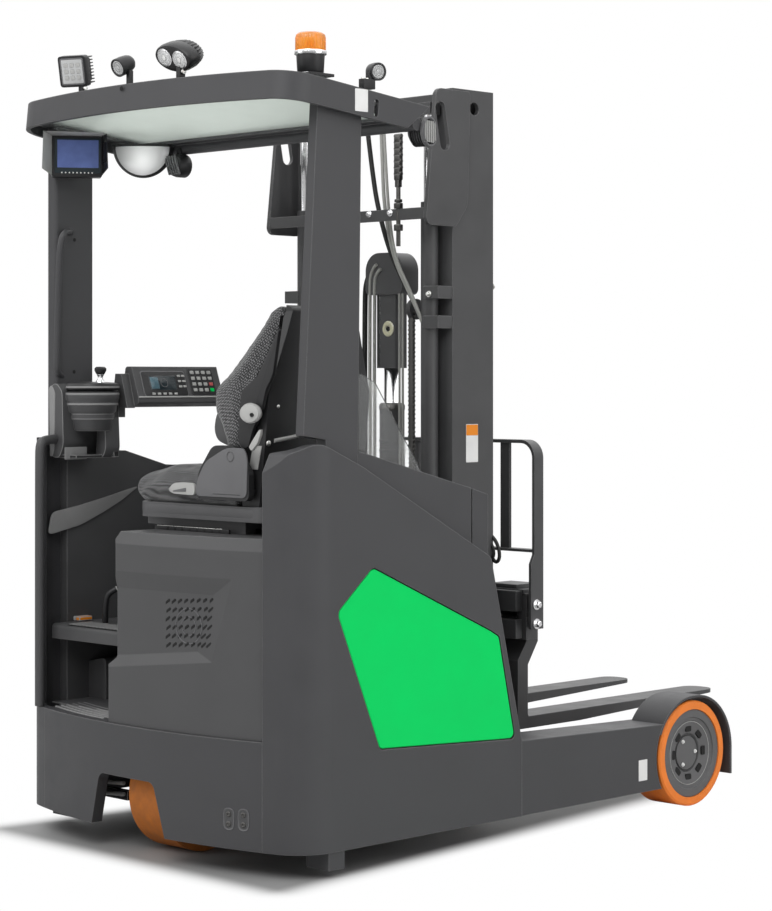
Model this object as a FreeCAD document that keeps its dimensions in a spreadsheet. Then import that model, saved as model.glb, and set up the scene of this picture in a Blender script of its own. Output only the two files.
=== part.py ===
import FreeCAD, Part
import math
import os
import Sketcher

# Reach truck: a sit-on warehouse truck with a mast that rolls forward between two straddle legs.
# Truck datum: X forward from the rear bumper, Y to the left, Z up from the floor, in millimetres.
# Every sub-part is placed so that the origin ends at the bottom centre of the whole truck's box.

os.makedirs("parts", exist_ok=True)
doc = FreeCAD.newDocument("ReachTruck")
Vector = FreeCAD.Vector
RIGHT = -1
LEFT = 1

# ---------------------------------------------------------------- driving dimensions
DIMENSIONS = {
    "half_width": 650,          # side faces from the centre line
    "wheelbase": 1870,          # rear bumper to the load wheels' axle
    "overall_length": 2550,     # guard's rear edge to the fork tips
    "guard_overhang": 21.4,     # top of the guard behind the bumper
    "datum_shift": 1245,        # bumper to the middle of the overall length
    "clearance": 76,            # floor to the chassis
    "skirt_top": 390,
    "skirt_wall": 40,
    "rear_radius": 2000,        # plan radius of the rear face
    "corner_radius": 135,
    "column_edge": 510,         # where the rear columns end, from the centre line
    "panel_wall": 30,
    "panel_front": 1016,        # side panels meet the legs here
    "leg_inner": 500,
    "leg_top": 305,
    "rail_low": 130,            # channel that guides the reach carriage
    "rail_high": 244,
    "rail_depth": 45,
    "wheel_radius": 175,
    "wheel_centre_height": 175,
    "load_wheel_width": 130,
    "arch_radius": 184,         # inside of the wheel covers
    "cover_wall": 8,
    "axle_radius": 30,
    "drive_x": 230,             # steering axis of the drive wheel
    "drive_wheel_width": 150,
    "deck_low": 370,
    "hood_top": 966,
    "hood_inset": 8,            # the hood's rear face behind the bumper's
    "hood_foot": 133,           # left end of the hood, below and above its ledge
    "hood_side": 97,
    "panel_depth": 18,          # of the hood's rear recess
    "floor_height": 644,
    "battery_rear": 640,
    "battery_front": 885,
    "guard_height": 2295,       # top of the guard above the rear bumper
    "guard_pitch": 6.28,        # degrees, front end lower
    "guard_band": 80,
    "guard_wall": 14,
    "mast_rear": 1014,
    "mast_depth": 190,
    "mast_half": 358,
    "mast_foot": 105,
    "mast_top": 2345,
    "lift_tube_x": 981,
    "lift_tube_y": 288,
    "lift_tube_radius": 27.7,
    "free_lift_x": 1101,
    "tilt_x": 1400,             # pivot of the tilting fork frame
    "tilt_z": 500,
    "fork_inner": 134,
    "fork_width": 120,
    "fork_top": 297,
    "fork_tip": 2520,
    "backrest_top": 1222,
    "backrest_half": 352,
}

sheet = doc.addObject("Spreadsheet::Sheet", "Dims")
for row, (name, value) in enumerate(DIMENSIONS.items(), 1):
    sheet.set(f"A{row}", name)
    sheet.set(f"B{row}", str(value))
    sheet.setAlias(f"B{row}", name)
doc.recompute()
parts = {}


# ---------------------------------------------------------------- drawing helpers
def measure(length):
    """Value in mm of a number or a plain sum of sheet names, such as 'leg_top - 10'."""
    if not isinstance(length, str):
        return float(length)
    total = 0.0
    sign = 1
    for word in length.split():
        if word in "+-":
            sign = 1 if word == "+" else -1
        else:
            total += sign * (float(sheet.get(word)) if word[0].isalpha() else float(word))
            sign = 1
    return total


def bound(length):
    """The same sum as an expression on the sheet."""
    if not isinstance(length, str):
        return str(length)
    return " ".join("Dims." + word if word[0].isalpha() else word for word in length.split())


def negated(length):
    if not isinstance(length, str):
        return -length
    swap = {"+": "-", "-": "+"}
    words = length.split()
    if words[0] not in swap:
        words.insert(0, "+")
    return " ".join(swap.get(word, word) for word in words)


def sided(side, length):
    """A distance from the centre line, on the left or on the right."""
    return length if side == LEFT else negated(length)


def span(side, inner, outer):
    """Low and high Y of a piece between two distances from the centre line."""
    return (inner, outer) if side == LEFT else (negated(outer), negated(inner))


def put(item, label, x=0, y=0, z=0, turn=None):
    """Label a sub-part and place it from the truck datum."""
    item.Label = label
    if turn:
        item.Placement = FreeCAD.Placement(Vector(0, 0, 0), turn)
    for axis, length in (("x", x), ("y", y), ("z", z)):
        shift = " - Dims.datum_shift" if axis == "x" else ""
        item.setExpression(f"Placement.Base.{axis}", f"({bound(length)}){shift}")
    parts[label] = item
    return item


def new_body(label, x=0, y=0, z=0, turn=None):
    return put(doc.addObject("PartDesign::Body", label), label, x, y, z, turn)


def tangent_points(before, corner, after, radius):
    """Start, middle and end of the arc that rounds a corner."""
    back = Vector(*before, 0) - Vector(*corner, 0)
    ahead = Vector(*after, 0) - Vector(*corner, 0)
    half = back.getAngle(ahead) / 2
    back.normalize()
    ahead.normalize()
    middle = (back + ahead).normalize()
    point = Vector(*corner, 0)
    reach = radius / math.tan(half)
    return point + back * reach, point + middle * (radius / math.sin(half) - radius), point + ahead * reach


def add_arc(sketch, start, middle, end):
    """Adds an arc counterclockwise, as sketches keep them. Returns its index and its two ends' numbers."""
    forward = (middle - start).cross(end - start).z > 0
    arc = Part.Arc(start, middle, end) if forward else Part.Arc(end, middle, start)
    index = sketch.addGeometry(arc, False)
    return (index, 1, 2) if forward else (index, 2, 1)


def pin(sketch, geometry, end, x, y):
    """Fix a point of a sketch by its distances from the sketch's axes."""
    for kind, axis, length in (("DistanceX", -2, x), ("DistanceY", -1, y)):
        if measure(length) == 0:
            sketch.addConstraint(Sketcher.Constraint("PointOnObject", geometry, end, axis))
            continue
        index = sketch.addConstraint(Sketcher.Constraint(kind, -1, 1, geometry, end, measure(length)))
        if isinstance(length, str):
            sketch.setExpression(f"Constraints[{index}]", bound(length))


def draw(sketch, corners, bulges=None):
    """Closed outline. A corner is (x, y) or (x, y, radius); a bulge is the arc's middle point."""
    bulges = bulges or {}
    count = len(corners)
    flat = [(measure(c[0]), measure(c[1])) for c in corners]
    arcs = {}
    for i, corner in enumerate(corners):
        if len(corner) == 3:
            arcs[i] = tangent_points(flat[i - 1], flat[i], flat[(i + 1) % count], corner[2])
    sides = []
    for i in range(count):
        following = (i + 1) % count
        start = arcs[i][2] if i in arcs else Vector(*flat[i], 0)
        end = arcs[following][0] if following in arcs else Vector(*flat[following], 0)
        if i in bulges:
            middle = Vector(measure(bulges[i][0]), measure(bulges[i][1]), 0)
            sides.append(add_arc(sketch, start, middle, end))
            index = sides[-1][0]
            sketch.addConstraint(Sketcher.Constraint("Radius", index, sketch.Geometry[index].Radius))
        else:
            sides.append((sketch.addGeometry(Part.LineSegment(start, end), False), 1, 2))
    for i, corner in enumerate(corners):
        before, _, before_end = sides[i - 1]
        after, after_start, _ = sides[i]
        if i not in arcs:
            sketch.addConstraint(Sketcher.Constraint("Coincident", before, before_end, after, after_start))
            pin(sketch, after, after_start, corner[0], corner[1])
            continue
        arc, first, last = add_arc(sketch, *arcs[i])
        point = sketch.addGeometry(Part.Point(Vector(*flat[i], 0)), True)
        pin(sketch, point, 1, corner[0], corner[1])
        for side in (before, after):
            sketch.addConstraint(Sketcher.Constraint("PointOnObject", point, 1, side))
        sketch.addConstraint(Sketcher.Constraint("Tangent", before, before_end, arc, first))
        sketch.addConstraint(Sketcher.Constraint("Tangent", after, after_start, arc, last))
        sketch.addConstraint(Sketcher.Constraint("Radius", arc, corner[2]))


def sketch_on(body, plane, low, high):
    """Sketch on a body's own origin plane, shifted so that its normal runs from low to high."""
    sketch = body.newObject("Sketcher::SketchObject", "Sketch")
    origin_plane = next(f for f in body.Origin.OriginFeatures if f.Role == plane + "_Plane")
    sketch.AttachmentSupport = (origin_plane, "")
    sketch.MapMode = "FlatFace"
    start = negated(high) if plane == "XZ" else low
    sketch.setExpression("AttachmentOffset.Base.z", bound(start))
    return sketch


def circle(sketch, x, y, radius):
    outline = Part.Circle(Vector(measure(x), measure(y), 0), Vector(0, 0, 1), measure(radius))
    index = sketch.addGeometry(outline, False)
    pin(sketch, index, 3, x, y)
    constraint = sketch.addConstraint(Sketcher.Constraint("Radius", index, measure(radius)))
    if isinstance(radius, str):
        sketch.setExpression(f"Constraints[{constraint}]", bound(radius))


def extrude(body, kind, plane, low, high, outlines, bulges=None):
    """Pad or pocket of outlines between two levels. A circle is (x, y, radius) in a one-item list."""
    before = body.Shape.Volume if body.Tip else 0
    sketch = sketch_on(body, plane, low, high)
    for outline in outlines:
        if len(outline) == 1:
            circle(sketch, *outline[0])
        else:
            draw(sketch, outline, bulges)
    feature = body.newObject("PartDesign::" + kind, kind)
    feature.Profile = sketch
    feature.setExpression("Length", f"({bound(high)}) - ({bound(low)})")
    if kind == "Pocket":
        feature.Reversed = True
    doc.recompute()
    change = body.Shape.Volume - before
    if (kind == "Pad") != (change > 1):
        raise RuntimeError(f"{body.Label}: {kind} changed the volume by {change:.1f}")
    return feature


def pad(body, plane, low, high, *outlines, bulges=None):
    return extrude(body, "Pad", plane, low, high, outlines, bulges)


def pocket(body, plane, low, high, *outlines, bulges=None):
    return extrude(body, "Pocket", plane, low, high, outlines, bulges)


def turned(body, plane, corners, axis="V_Axis", kind="Revolution"):
    """Full turn of an outline about one of its sketch's axes."""
    before = body.Shape.Volume if body.Tip else 0
    sketch = sketch_on(body, plane, 0, 0)
    draw(sketch, corners)
    feature = body.newObject("PartDesign::" + kind, kind)
    feature.Profile = sketch
    feature.ReferenceAxis = (sketch, [axis])
    feature.Angle = 360
    doc.recompute()
    change = body.Shape.Volume - before
    if (kind == "Revolution") != (change > 1):
        raise RuntimeError(f"{body.Label}: {kind} changed the volume by {change:.1f}")
    return feature


def dress(body, kind, size, wanted):
    """Fillet or chamfer on the edges of a body's tip that wanted() accepts."""
    base = body.Tip
    names = [f"Edge{i}" for i, edge in enumerate(base.Shape.Edges, 1) if wanted(edge)]
    if not names:
        raise RuntimeError(f"{body.Label}: no edge to {kind}")
    feature = body.newObject("PartDesign::" + kind, kind)
    feature.Base = (base, names)
    setattr(feature, "Radius" if kind == "Fillet" else "Size", size)
    doc.recompute()
    if not feature.Shape.isValid() or "Invalid" in feature.State:
        raise RuntimeError(f"{body.Label}: {kind} failed")
    return feature


def upright_at(x, y, reach=3):
    """Picks vertical edges near a plan position."""
    def wanted(edge):
        box = edge.BoundBox
        near = abs(box.Center.x - measure(x)) < reach and abs(box.Center.y - measure(y)) < reach
        return near and box.ZLength > 10 and box.XLength < 1 and box.YLength < 1
    return wanted


def ringed(body, features, axis, count):
    pattern = body.newObject("PartDesign::PolarPattern", "PolarPattern")
    pattern.Originals = features
    pattern.Axis = (next(f for f in body.Origin.OriginFeatures if f.Role == axis + "_Axis"), [""])
    pattern.Angle = 360
    pattern.Occurrences = count
    body.Tip = pattern
    doc.recompute()
    return pattern


def rear_face(y, inset=0):
    """X of the curved rear face, or of a parallel arc inside it, at a distance from the centre line."""
    radius = measure("rear_radius") - inset
    return measure("rear_radius") - math.sqrt(radius ** 2 - measure(y) ** 2)


def inset_outline(corners, gap):
    """The same closed outline, each side moved inwards by a gap."""
    points = [Vector(measure(c[0]), measure(c[1]), 0) for c in corners]
    wire = Part.makePolygon(points + points[:1])
    inner = wire.makeOffset2D(-gap, 2)
    if inner.BoundBox.DiagonalLength > wire.BoundBox.DiagonalLength:
        inner = wire.makeOffset2D(gap, 2)
    ends = [v.Point for v in inner.OrderedVertexes]
    start = min(range(len(ends)), key=lambda i: (ends[i] - points[0]).Length)
    ends = ends[start:] + ends[:start]
    if (ends[1] - points[1]).Length > (ends[-1] - points[1]).Length:
        ends = ends[:1] + ends[:0:-1]
    return [(round(p.x, 3), round(p.y, 3), *c[2:]) for p, c in zip(ends, corners)]


# ---------------------------------------------------------------- chassis
def side_plan(side, inset):
    """Middle of the rear arc between a column's edge and the corner."""
    return rear_face(580, inset), sided(side, 580)


def chassis_skirt():
    """Curved bumper between the rear columns, cut out for the drive wheel."""
    body = new_body("chassis_skirt")
    edge = "column_edge"
    outer = rear_face(edge)
    inner = rear_face(edge, measure("skirt_wall"))
    pad(body, "XY", "clearance", "skirt_top",
        [(outer, negated(edge)), (outer, edge), (inner, edge), (inner, negated(edge))],
        bulges={0: (0, 0), 2: ("skirt_wall", 0)})
    pocket(body, "YZ", -10, 90, [(-155, 60), (205, 60), (158, 235, 30), (-100, 235, 30)])


def side_panel(side, label, top):
    """Rear column and side wall in one bent plate, with a recess for the green panel."""
    body = new_body(label)
    wall = measure("panel_wall")
    inner_side = measure("half_width") - wall
    edge = measure("column_edge")
    plan = [(rear_face(edge), sided(side, edge)),
            (rear_face("half_width"), sided(side, "half_width")),
            ("panel_front", sided(side, "half_width")),
            ("panel_front", sided(side, "half_width - panel_wall")),
            (rear_face(inner_side, wall), sided(side, "half_width - panel_wall")),
            (rear_face(edge, wall), sided(side, edge))]
    pad(body, "XY", "clearance", 1260, plan, bulges={0: side_plan(side, 0), 4: side_plan(side, wall)})
    corner = measure("corner_radius")
    dress(body, "Fillet", corner, upright_at(rear_face("half_width"), sided(side, "half_width")))
    dress(body, "Fillet", corner - wall, upright_at(rear_face(inner_side, wall), sided(side, inner_side)))
    low, high = span(side, 480, 670)
    pocket(body, "XZ", low, high, top + [(1100, 1400), (-50, 1400)])
    if side == LEFT:
        pocket(body, "XY", "skirt_top", 1300, [(20, 500), (160, 500), (160, 590), (20, 590)])
    low, high = span(side, "half_width - 12", "half_width")
    pocket(body, "XZ", low, high, GREEN_OUTLINE)


GREEN_OUTLINE = [(399, 348, 18), (988, 317, 18), (915, 639, 20), (875, 660, 20), (371, 880, 25),
                 (227, 757, 25)]
RIGHT_TOP = [(-50, 1150), (66, 1155), (94, 1210, 30), (160, 1243, 60), (330, 1170), (876, 882, 30),
             ("panel_front", 308), (1100, 308)]
LEFT_TOP = [(-50, 1237), (170, 1237), (450, 1190), (664, 1127), (846, 1040, 30), ("panel_front", 308),
            (1100, 308)]


def green_panels():
    """Coloured side covers, a 3 mm gap round each in its recess."""
    panels = []
    for side in (RIGHT, LEFT):
        body = doc.addObject("PartDesign::Body", "GreenPanel")
        low, high = span(side, "half_width - 12", "half_width - 1")
        pad(body, "XZ", low, high, inset_outline(GREEN_OUTLINE, 3))
        face_y = sided(side, measure("half_width") - 1)
        dress(body, "Chamfer", 2.5, lambda edge, y=face_y: abs(edge.BoundBox.Center.y - y) < 0.01
              and edge.BoundBox.YLength < 0.01)
        panels.append(body)
    both = doc.addObject("Part::Compound", "GreenPanels")
    both.Links = panels
    put(both, "green_panels")


def leg(side, label):
    """Straddle leg: box section, roller channel on its inner face, and the load wheel's axle."""
    body = new_body(label)
    low, high = span(side, "leg_inner", "half_width")
    pad(body, "XZ", low, high, [("panel_front", "clearance + 1"), (1760, "clearance + 1"),
                                (1760, 286), ("panel_front", 308)])
    low, high = span(side, "leg_inner", "half_width - panel_wall")
    pad(body, "XZ", low, high, [(500, "clearance + 1"), ("panel_front", "clearance + 1"),
                                ("panel_front", "leg_top"), (500, "leg_top")])
    low, high = span(side, "leg_inner", "leg_inner + rail_depth")
    pocket(body, "XZ", low, high,
           [(640, "rail_low"), (1645, "rail_low"), (1645, "rail_high"), (640, "rail_high")])
    low, high = span(side, "leg_inner + 15", "half_width")
    pocket(body, "XZ", low, high, [("wheelbase", "wheel_centre_height", "arch_radius + cover_wall")])
    low, high = span(side, "leg_inner", "leg_inner + 15")
    pad(body, "XZ", low, high,
        [(1640, "clearance + 1"), (1890, 82), (1965, 130, 60), (1965, 250, 60), (1640, 290)])
    low, high = span(side, "leg_inner + 14", "half_width - 52")
    pad(body, "XZ", low, high, [("wheelbase", "wheel_centre_height", "axle_radius")])


def wheel_covers():
    """Bent plates over the load wheels."""
    covers = []
    centre_x = measure("wheelbase")
    centre_z = measure("wheel_centre_height")
    forward = centre_x + 23
    inner = measure("arch_radius")
    outer = inner + measure("cover_wall")
    start = math.radians(155)
    bend = math.radians(122)
    front = math.radians(45)

    def at(x, radius, angle):
        return x + radius * math.cos(angle), centre_z + radius * math.sin(angle)

    for side in (RIGHT, LEFT):
        body = doc.addObject("PartDesign::Body", "WheelCover")
        low, high = span(side, "leg_inner + 15", "half_width")
        pad(body, "XZ", low, high,
            [at(centre_x, outer, start), (centre_x, centre_z + outer), (forward, centre_z + outer),
             (forward + outer, centre_z), (forward + outer, 84), (forward + inner, 84),
             (forward + inner, centre_z), (forward, centre_z + inner), (centre_x, centre_z + inner),
             at(centre_x, inner, start)],
            bulges={0: at(centre_x, outer, bend), 2: at(forward, outer, front),
                    6: at(forward, inner, front), 8: at(centre_x, inner, bend)})
        covers.append(body)
    both = doc.addObject("Part::Compound", "WheelCovers")
    both.Links = covers
    put(both, "wheel_covers")


def chassis_deck():
    """Plate over the drive unit that carries the hood and the cab."""
    body = new_body("chassis_deck")
    wall = measure("skirt_wall")
    side = "half_width - panel_wall"
    pad(body, "XY", "deck_low", "skirt_top",
        [(rear_face(500, wall), -500), (rear_face(195, wall), 195), (300, 195), (300, side), (640, side),
         (640, negated(side)), (245, negated(side))],
        bulges={0: ("skirt_wall", 0)})
    pocket(body, "XY", "deck_low", "skirt_top", [("drive_x", 0, 165)])


def chassis_crossmember():
    """Beam that ties the legs together behind the reach carriage, bored for the reach cylinder."""
    body = new_body("chassis_crossmember")
    pad(body, "XY", 100, "leg_top",
        [(520, "- leg_inner"), (630, "- leg_inner"), (630, "leg_inner"), (520, "leg_inner")])
    pocket(body, "YZ", 520, 630, [(-220, 200, 34.5)])


def rear_feet():
    """Support blocks under the rear corners."""
    feet = []
    for side in (RIGHT, LEFT):
        body = doc.addObject("PartDesign::Body", "Foot")
        low, high = span(side, "half_width - 100", "half_width - 6")
        pad(body, "XZ", low, high, [(200, 24), (262, 24), (262, "clearance"), (200, "clearance")])
        feet.append(body)
    both = doc.addObject("Part::Compound", "Feet")
    both.Links = feet
    put(both, "rear_feet")


# ---------------------------------------------------------------- hood, step and cab walls
# Heights of the rear recess's upper and lower slopes, on the hood's face and on the recess's floor
RECESS_TOP = (848, 797)
RECESS_FOOT = (580, 613)
RECESS_MIDDLE = -96
RECESS_LEAN = -6.2           # degrees: the lower slope rises to the right


def ring_cutter(profile, level=0, lean=0):
    """Ring about the rear face's own axis. The profile is (inset from the bumper, z); it may lean."""
    body = doc.addObject("PartDesign::Body", "RingCutter")
    radius = measure("rear_radius")
    turned(body, "XZ", [(inset - radius, z - level) for inset, z in profile])
    middle = Vector(0, RECESS_MIDDLE if lean else 0, level)
    leaning = FreeCAD.Placement(Vector(0, 0, 0), FreeCAD.Rotation(Vector(1, 0, 0), lean), middle)
    body.Placement = leaning.multiply(FreeCAD.Placement(Vector(radius, 0, level), FreeCAD.Rotation()))
    return body


def recess_cutter():
    """The tapered outer layer that leaves the hood's rear recess, bounded by four slopes."""
    face = measure("hood_inset")
    depth = measure("panel_depth")
    reach = 30

    def beyond(on_face, on_floor, distance):
        return on_face + (on_face - on_floor) * distance / depth

    layer = ring_cutter([(face - reach, 500), (face + depth, 500), (face + depth, RECESS_TOP[1]),
                         (face - reach, beyond(*RECESS_TOP, reach))])
    sill = ring_cutter([(face - reach - 5, beyond(*RECESS_FOOT, reach + 5)),
                        (face + 2 * depth, beyond(*RECESS_FOOT, -2 * depth)), (face + 2 * depth, 400),
                        (face - reach - 5, 400)], RECESS_FOOT[0], RECESS_LEAN)
    corners = [Vector(rear_face(y, inset), y, z)
               for y, z, inset in ((-395, 827, face), (-326, 601, face), (-312, 789, face + depth))]
    normal = (corners[1] - corners[0]).cross(corners[2] - corners[0]).normalize()
    if normal.y > 0:
        normal = -normal
    jamb = doc.addObject("Part::Box", "Jamb")
    jamb.Length = jamb.Width = 1200
    jamb.Height = 400
    turn = FreeCAD.Rotation(Vector(0, 0, 1), normal)
    jamb.Placement = FreeCAD.Placement(corners[0] - turn.multVec(Vector(600, 600, 0)), turn)
    trimmed = doc.addObject("Part::Cut", "RecessAboveSill")
    trimmed.Base = layer
    trimmed.Tool = sill
    cutter = doc.addObject("Part::Cut", "RecessCutter")
    cutter.Base = trimmed
    cutter.Tool = jamb
    return cutter


def seat_hood():
    """Hollow cover over the drive motor: curved rear face, side ledge, bevelled top, tapered recess."""
    body = doc.addObject("PartDesign::Body", "HoodShell")
    face = rear_face(508, 8)
    top = measure("hood_top")
    for low, high, side in (("skirt_top", 585, "hood_foot"), (585, "hood_top", "hood_side")):
        left = measure(side)
        pad(body, "XY", low, high, [(face, -508), (rear_face(left, 8), side), (608, side), (608, -508)],
            bulges={0: ("hood_inset", 0)})
    pocket(body, "YZ", 0, 610, [("hood_side", 585), ("hood_foot", 557), (160, 557), (160, 600),
                                ("hood_side", 600)])
    dress(body, "Fillet", 22, lambda edge: edge.BoundBox.ZLength > 100 and edge.BoundBox.YMin > 90
          and edge.BoundBox.XMax < 60)
    pocket(body, "YZ", 0, 610, [("hood_side", top - 36), (120, top - 36), (120, top + 2), (79, top + 2)])
    pocket(body, "XY", "skirt_top", 930, [(110, -470), (580, -470), (580, 87), (110, 87)])
    edge = ring_cutter([(-40, top - 132), (8, top - 36), (27, top + 2), (-40, top + 2)])
    cuts = doc.addObject("Part::MultiFuse", "HoodCuts")
    cuts.Shapes = [recess_cutter(), edge]
    hood = doc.addObject("Part::Cut", "Hood")
    hood.Base = body
    hood.Tool = cuts
    put(hood, "seat_hood")


def entry_step():
    """Moulded entry: ribbed tread, riser with a foot recess, and the cab floor on top."""
    body = new_body("entry_step")
    wall = measure("skirt_wall")
    side = measure("half_width") - measure("panel_wall")
    pad(body, "XY", "deck_low", "skirt_top",
        [(rear_face(195, wall), 195), (rear_face(500, wall), 500), (245, side), (300, side), (300, 195)],
        bulges={0: (rear_face(350, wall), 350)})
    pad(body, "YZ", 152, 608, [("hood_foot", "skirt_top"), ("hood_foot", 557), ("hood_side", 585),
                               ("hood_side", "floor_height"), (585, "floor_height"), (585, "skirt_top")])
    dress(body, "Fillet", 14, lambda edge: abs(edge.BoundBox.ZMin - 644) < 0.1 and edge.BoundBox.XMax < 153)
    pocket(body, "YZ", 152, 430,
           [(190, "skirt_top + 4"), (585, "skirt_top + 4"), (585, 597), (190, 597, 45)])


def cab_wall_left():
    """Inner lining of the left wall."""
    body = new_body("cab_wall_left")
    pad(body, "XZ", 585, "half_width - panel_wall",
        [(212, "skirt_top"), (638, "skirt_top"), (638, 1134), (450, 1189), (212, 1189)])


def bulkhead():
    """Wall between the cab and the battery."""
    body = new_body("bulkhead")
    pad(body, "YZ", 610, 638, [(-578, "skirt_top"), (583, "skirt_top"), (583, 1139, 30), (-578, 1139, 30)])


def battery():
    """Traction battery as one heavy block on the legs."""
    body = new_body("battery")
    pad(body, "XY", "leg_top", 1040,
        [("battery_rear + 5", -600), ("battery_front", -600), ("battery_front", 600),
         ("battery_rear + 5", 600)])


def battery_cover():
    """Sloping lid with a cheek on each side, inside the side panels."""
    body = new_body("battery_cover")
    pad(body, "XZ", -606, 606, [(640, 1126), (818, 1081), (886, 1063), (886, 1041), (894, 1041),
                                (894, 1071), (817, 1093), (640, 1138)])
    low, high = span(RIGHT, 606, "half_width - panel_wall")
    pad(body, "XZ", low, high,
        [(341, 1214.5), (640, 1138), (817, 1093), (894, 1071), (894, 850), (860, 850),
         (341, 1075)])
    low, high = span(RIGHT, "half_width - panel_wall - 8", "half_width - panel_wall")
    pocket(body, "XZ", low, high, [(819, 840), (825, 840), (825, 1110), (819, 1110)])
    low, high = span(LEFT, 606, "half_width - panel_wall")
    pad(body, "XZ", low, high, [(640, 1138), (817, 1093), (894, 1071), (894, 880), (640, 960)])


# ---------------------------------------------------------------- overhead guard
def guard_turn():
    return FreeCAD.Rotation(Vector(0, 1, 0), measure("guard_pitch"))


def guard_underside(x, drop):
    """Height of a plane parallel to the guard's top, below it by a drop, at a distance from the bumper."""
    pitch = math.radians(measure("guard_pitch"))
    return measure("guard_height") - x * math.tan(pitch) - drop / math.cos(pitch)


def bowed_plan(inset, front):
    """Plan of the guard, inset from its outside: a bowed rear, two round corners and straight sides."""
    bow = 3000 - inset
    centre = 3000 - measure("guard_overhang")
    half = measure("half_width") - inset
    ends = {}
    for side, radius in ((RIGHT, 98), (LEFT, 178)):
        corner = radius - inset
        across = half - corner
        corner_x = centre - math.sqrt((bow - corner) ** 2 - across ** 2)
        out = Vector(corner_x - centre, side * across, 0).normalize()
        tangent = Vector(centre, 0, 0) + out * bow
        middle = Vector(corner_x, side * across, 0) + (out + Vector(0, side, 0)).normalize() * corner
        ends[side] = (tangent.x, tangent.y), (corner_x, side * half), (middle.x, middle.y)
    right, left = ends[RIGHT], ends[LEFT]
    corners = [right[0], left[0], left[1], (front, half), (front, -half), right[1]]
    return corners, {0: (centre - bow, 0), 1: left[2], 5: right[2]}


def guard_frame():
    """Pitched U-shaped band with an inner ledge for the glass and a tube across its front."""
    body = new_body("guard_frame", z="guard_height", turn=guard_turn())
    wall = measure("guard_wall")
    inner = measure("half_width") - wall
    outside, outside_arcs = bowed_plan(0, 612)
    inside, inside_arcs = bowed_plan(wall, 700)
    opening, opening_arcs = bowed_plan(wall + 45, 530)
    pad(body, "XY", "- guard_band", 0, outside, bulges=outside_arcs)
    pocket(body, "XY", -38, 0, inside, bulges=inside_arcs)
    pocket(body, "XY", "- guard_band", -48, inside, bulges=inside_arcs)
    pocket(body, "XY", -48, -38, opening, bulges=opening_arcs)
    pocket(body, "XY", -48, -38, [(560, -inner), (700, -inner), (700, inner), (560, inner)])
    pocket(body, "XZ", -660, 660, [(526, -90), (526, -80), (612, 0), (700, 10), (700, -90)])
    pad(body, "XZ", -inner, inner, [(577, -58, 19)])
    low, high = span(RIGHT, inner, measure("half_width"))
    pocket(body, "XZ", low, high, [(383, -72, 8.9), (401, -72, 8.9), (401, -20, 8.9), (383, -20, 8.9)])


def guard_glass():
    """Tinted roof pane on the guard's ledge."""
    body = new_body("guard_glass", z="guard_height", turn=guard_turn())
    plan, arcs = bowed_plan(measure("guard_wall") + 3, 548)
    pad(body, "XY", -38, -30, plan, bulges=arcs)


def pillar_right():
    """Broad rear pillar, leaning at its rear edge."""
    body = new_body("pillar_right")
    low, high = span(RIGHT, 580, "half_width - panel_wall")
    pad(body, "XZ", low, high,
        [(212, "skirt_top"), (328, "skirt_top"), (353, guard_underside(353, 48)),
         (180, guard_underside(180, 48)),
         (124, 1262), (212, 1249)])
    dress(body, "Fillet", 12, lambda edge: edge.BoundBox.ZLength > 900 and edge.BoundBox.YMax > -581)


def pillar_left():
    body = new_body("pillar_left")
    low, high = span(LEFT, 580, "half_width - panel_wall")
    pad(body, "XZ", low, high,
        [(212, 1189), (316, 1189), (316, guard_underside(316, 48)), (163, guard_underside(163, 48)),
         (163, 1242), (212, 1242)])
    dress(body, "Fillet", 12, lambda edge: edge.BoundBox.ZLength > 900 and edge.BoundBox.YMax < 581)


def clear_screen():
    """Clear pane between the operator and the mast."""
    body = new_body("clear_screen")
    pad(body, "XZ", -606, -600,
        [(356, 1100), (636, 1100), (636, 1122), (425, 1411, 12), (372, 1436, 12), (356, 1437)])


# ---------------------------------------------------------------- seat and controls
def seat_suspension():
    """Slide rails and the tray that carries the cushion."""
    body = new_body("seat_suspension")
    for rail in (190, 500):
        pad(body, "XY", "hood_top", 985, [(rail, -300), (rail + 40, -300), (rail + 40, 75), (rail, 75)])
    pad(body, "XY", 980, 1006, [(190, -300), (540, -300), (540, 150), (190, 150)])
    pad(body, "XY", 1005, 1050, [(142, -430, 30), (580, -430, 30), (580, 150, 50), (142, 150, 50)])


def seat_cushion():
    """Closed solid of the padded seat."""
    body = new_body("seat_cushion")
    pad(body, "YZ", 142, 580,
        [(-318, 1050, 10), (124, 1050, 20), (168, 1085, 22), (148, 1122, 25), (0, 1158, 60),
         (-318, 1150, 20)])


def seat_back():
    """Closed solid of the padded backrest, narrower at the top."""
    body = new_body("seat_back")
    pad(body, "YZ", 150, 572,
        [(-322, 1165, 10), (-262, 1190, 20), (-205, 1330, 60), (-205, 1395, 60), (-372, 1622, 30),
         (-432, 1650, 15), (-424, 1598, 20), (-362, 1405, 60), (-345, 1250)])
    pocket(body, "XZ", -500, -100, [(140, 1380), (150, 1380), (225, 1620), (225, 1660), (140, 1660)])
    pocket(body, "XZ", -500, -100, [(582, 1380), (572, 1380), (497, 1620), (497, 1660), (582, 1660)])


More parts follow.
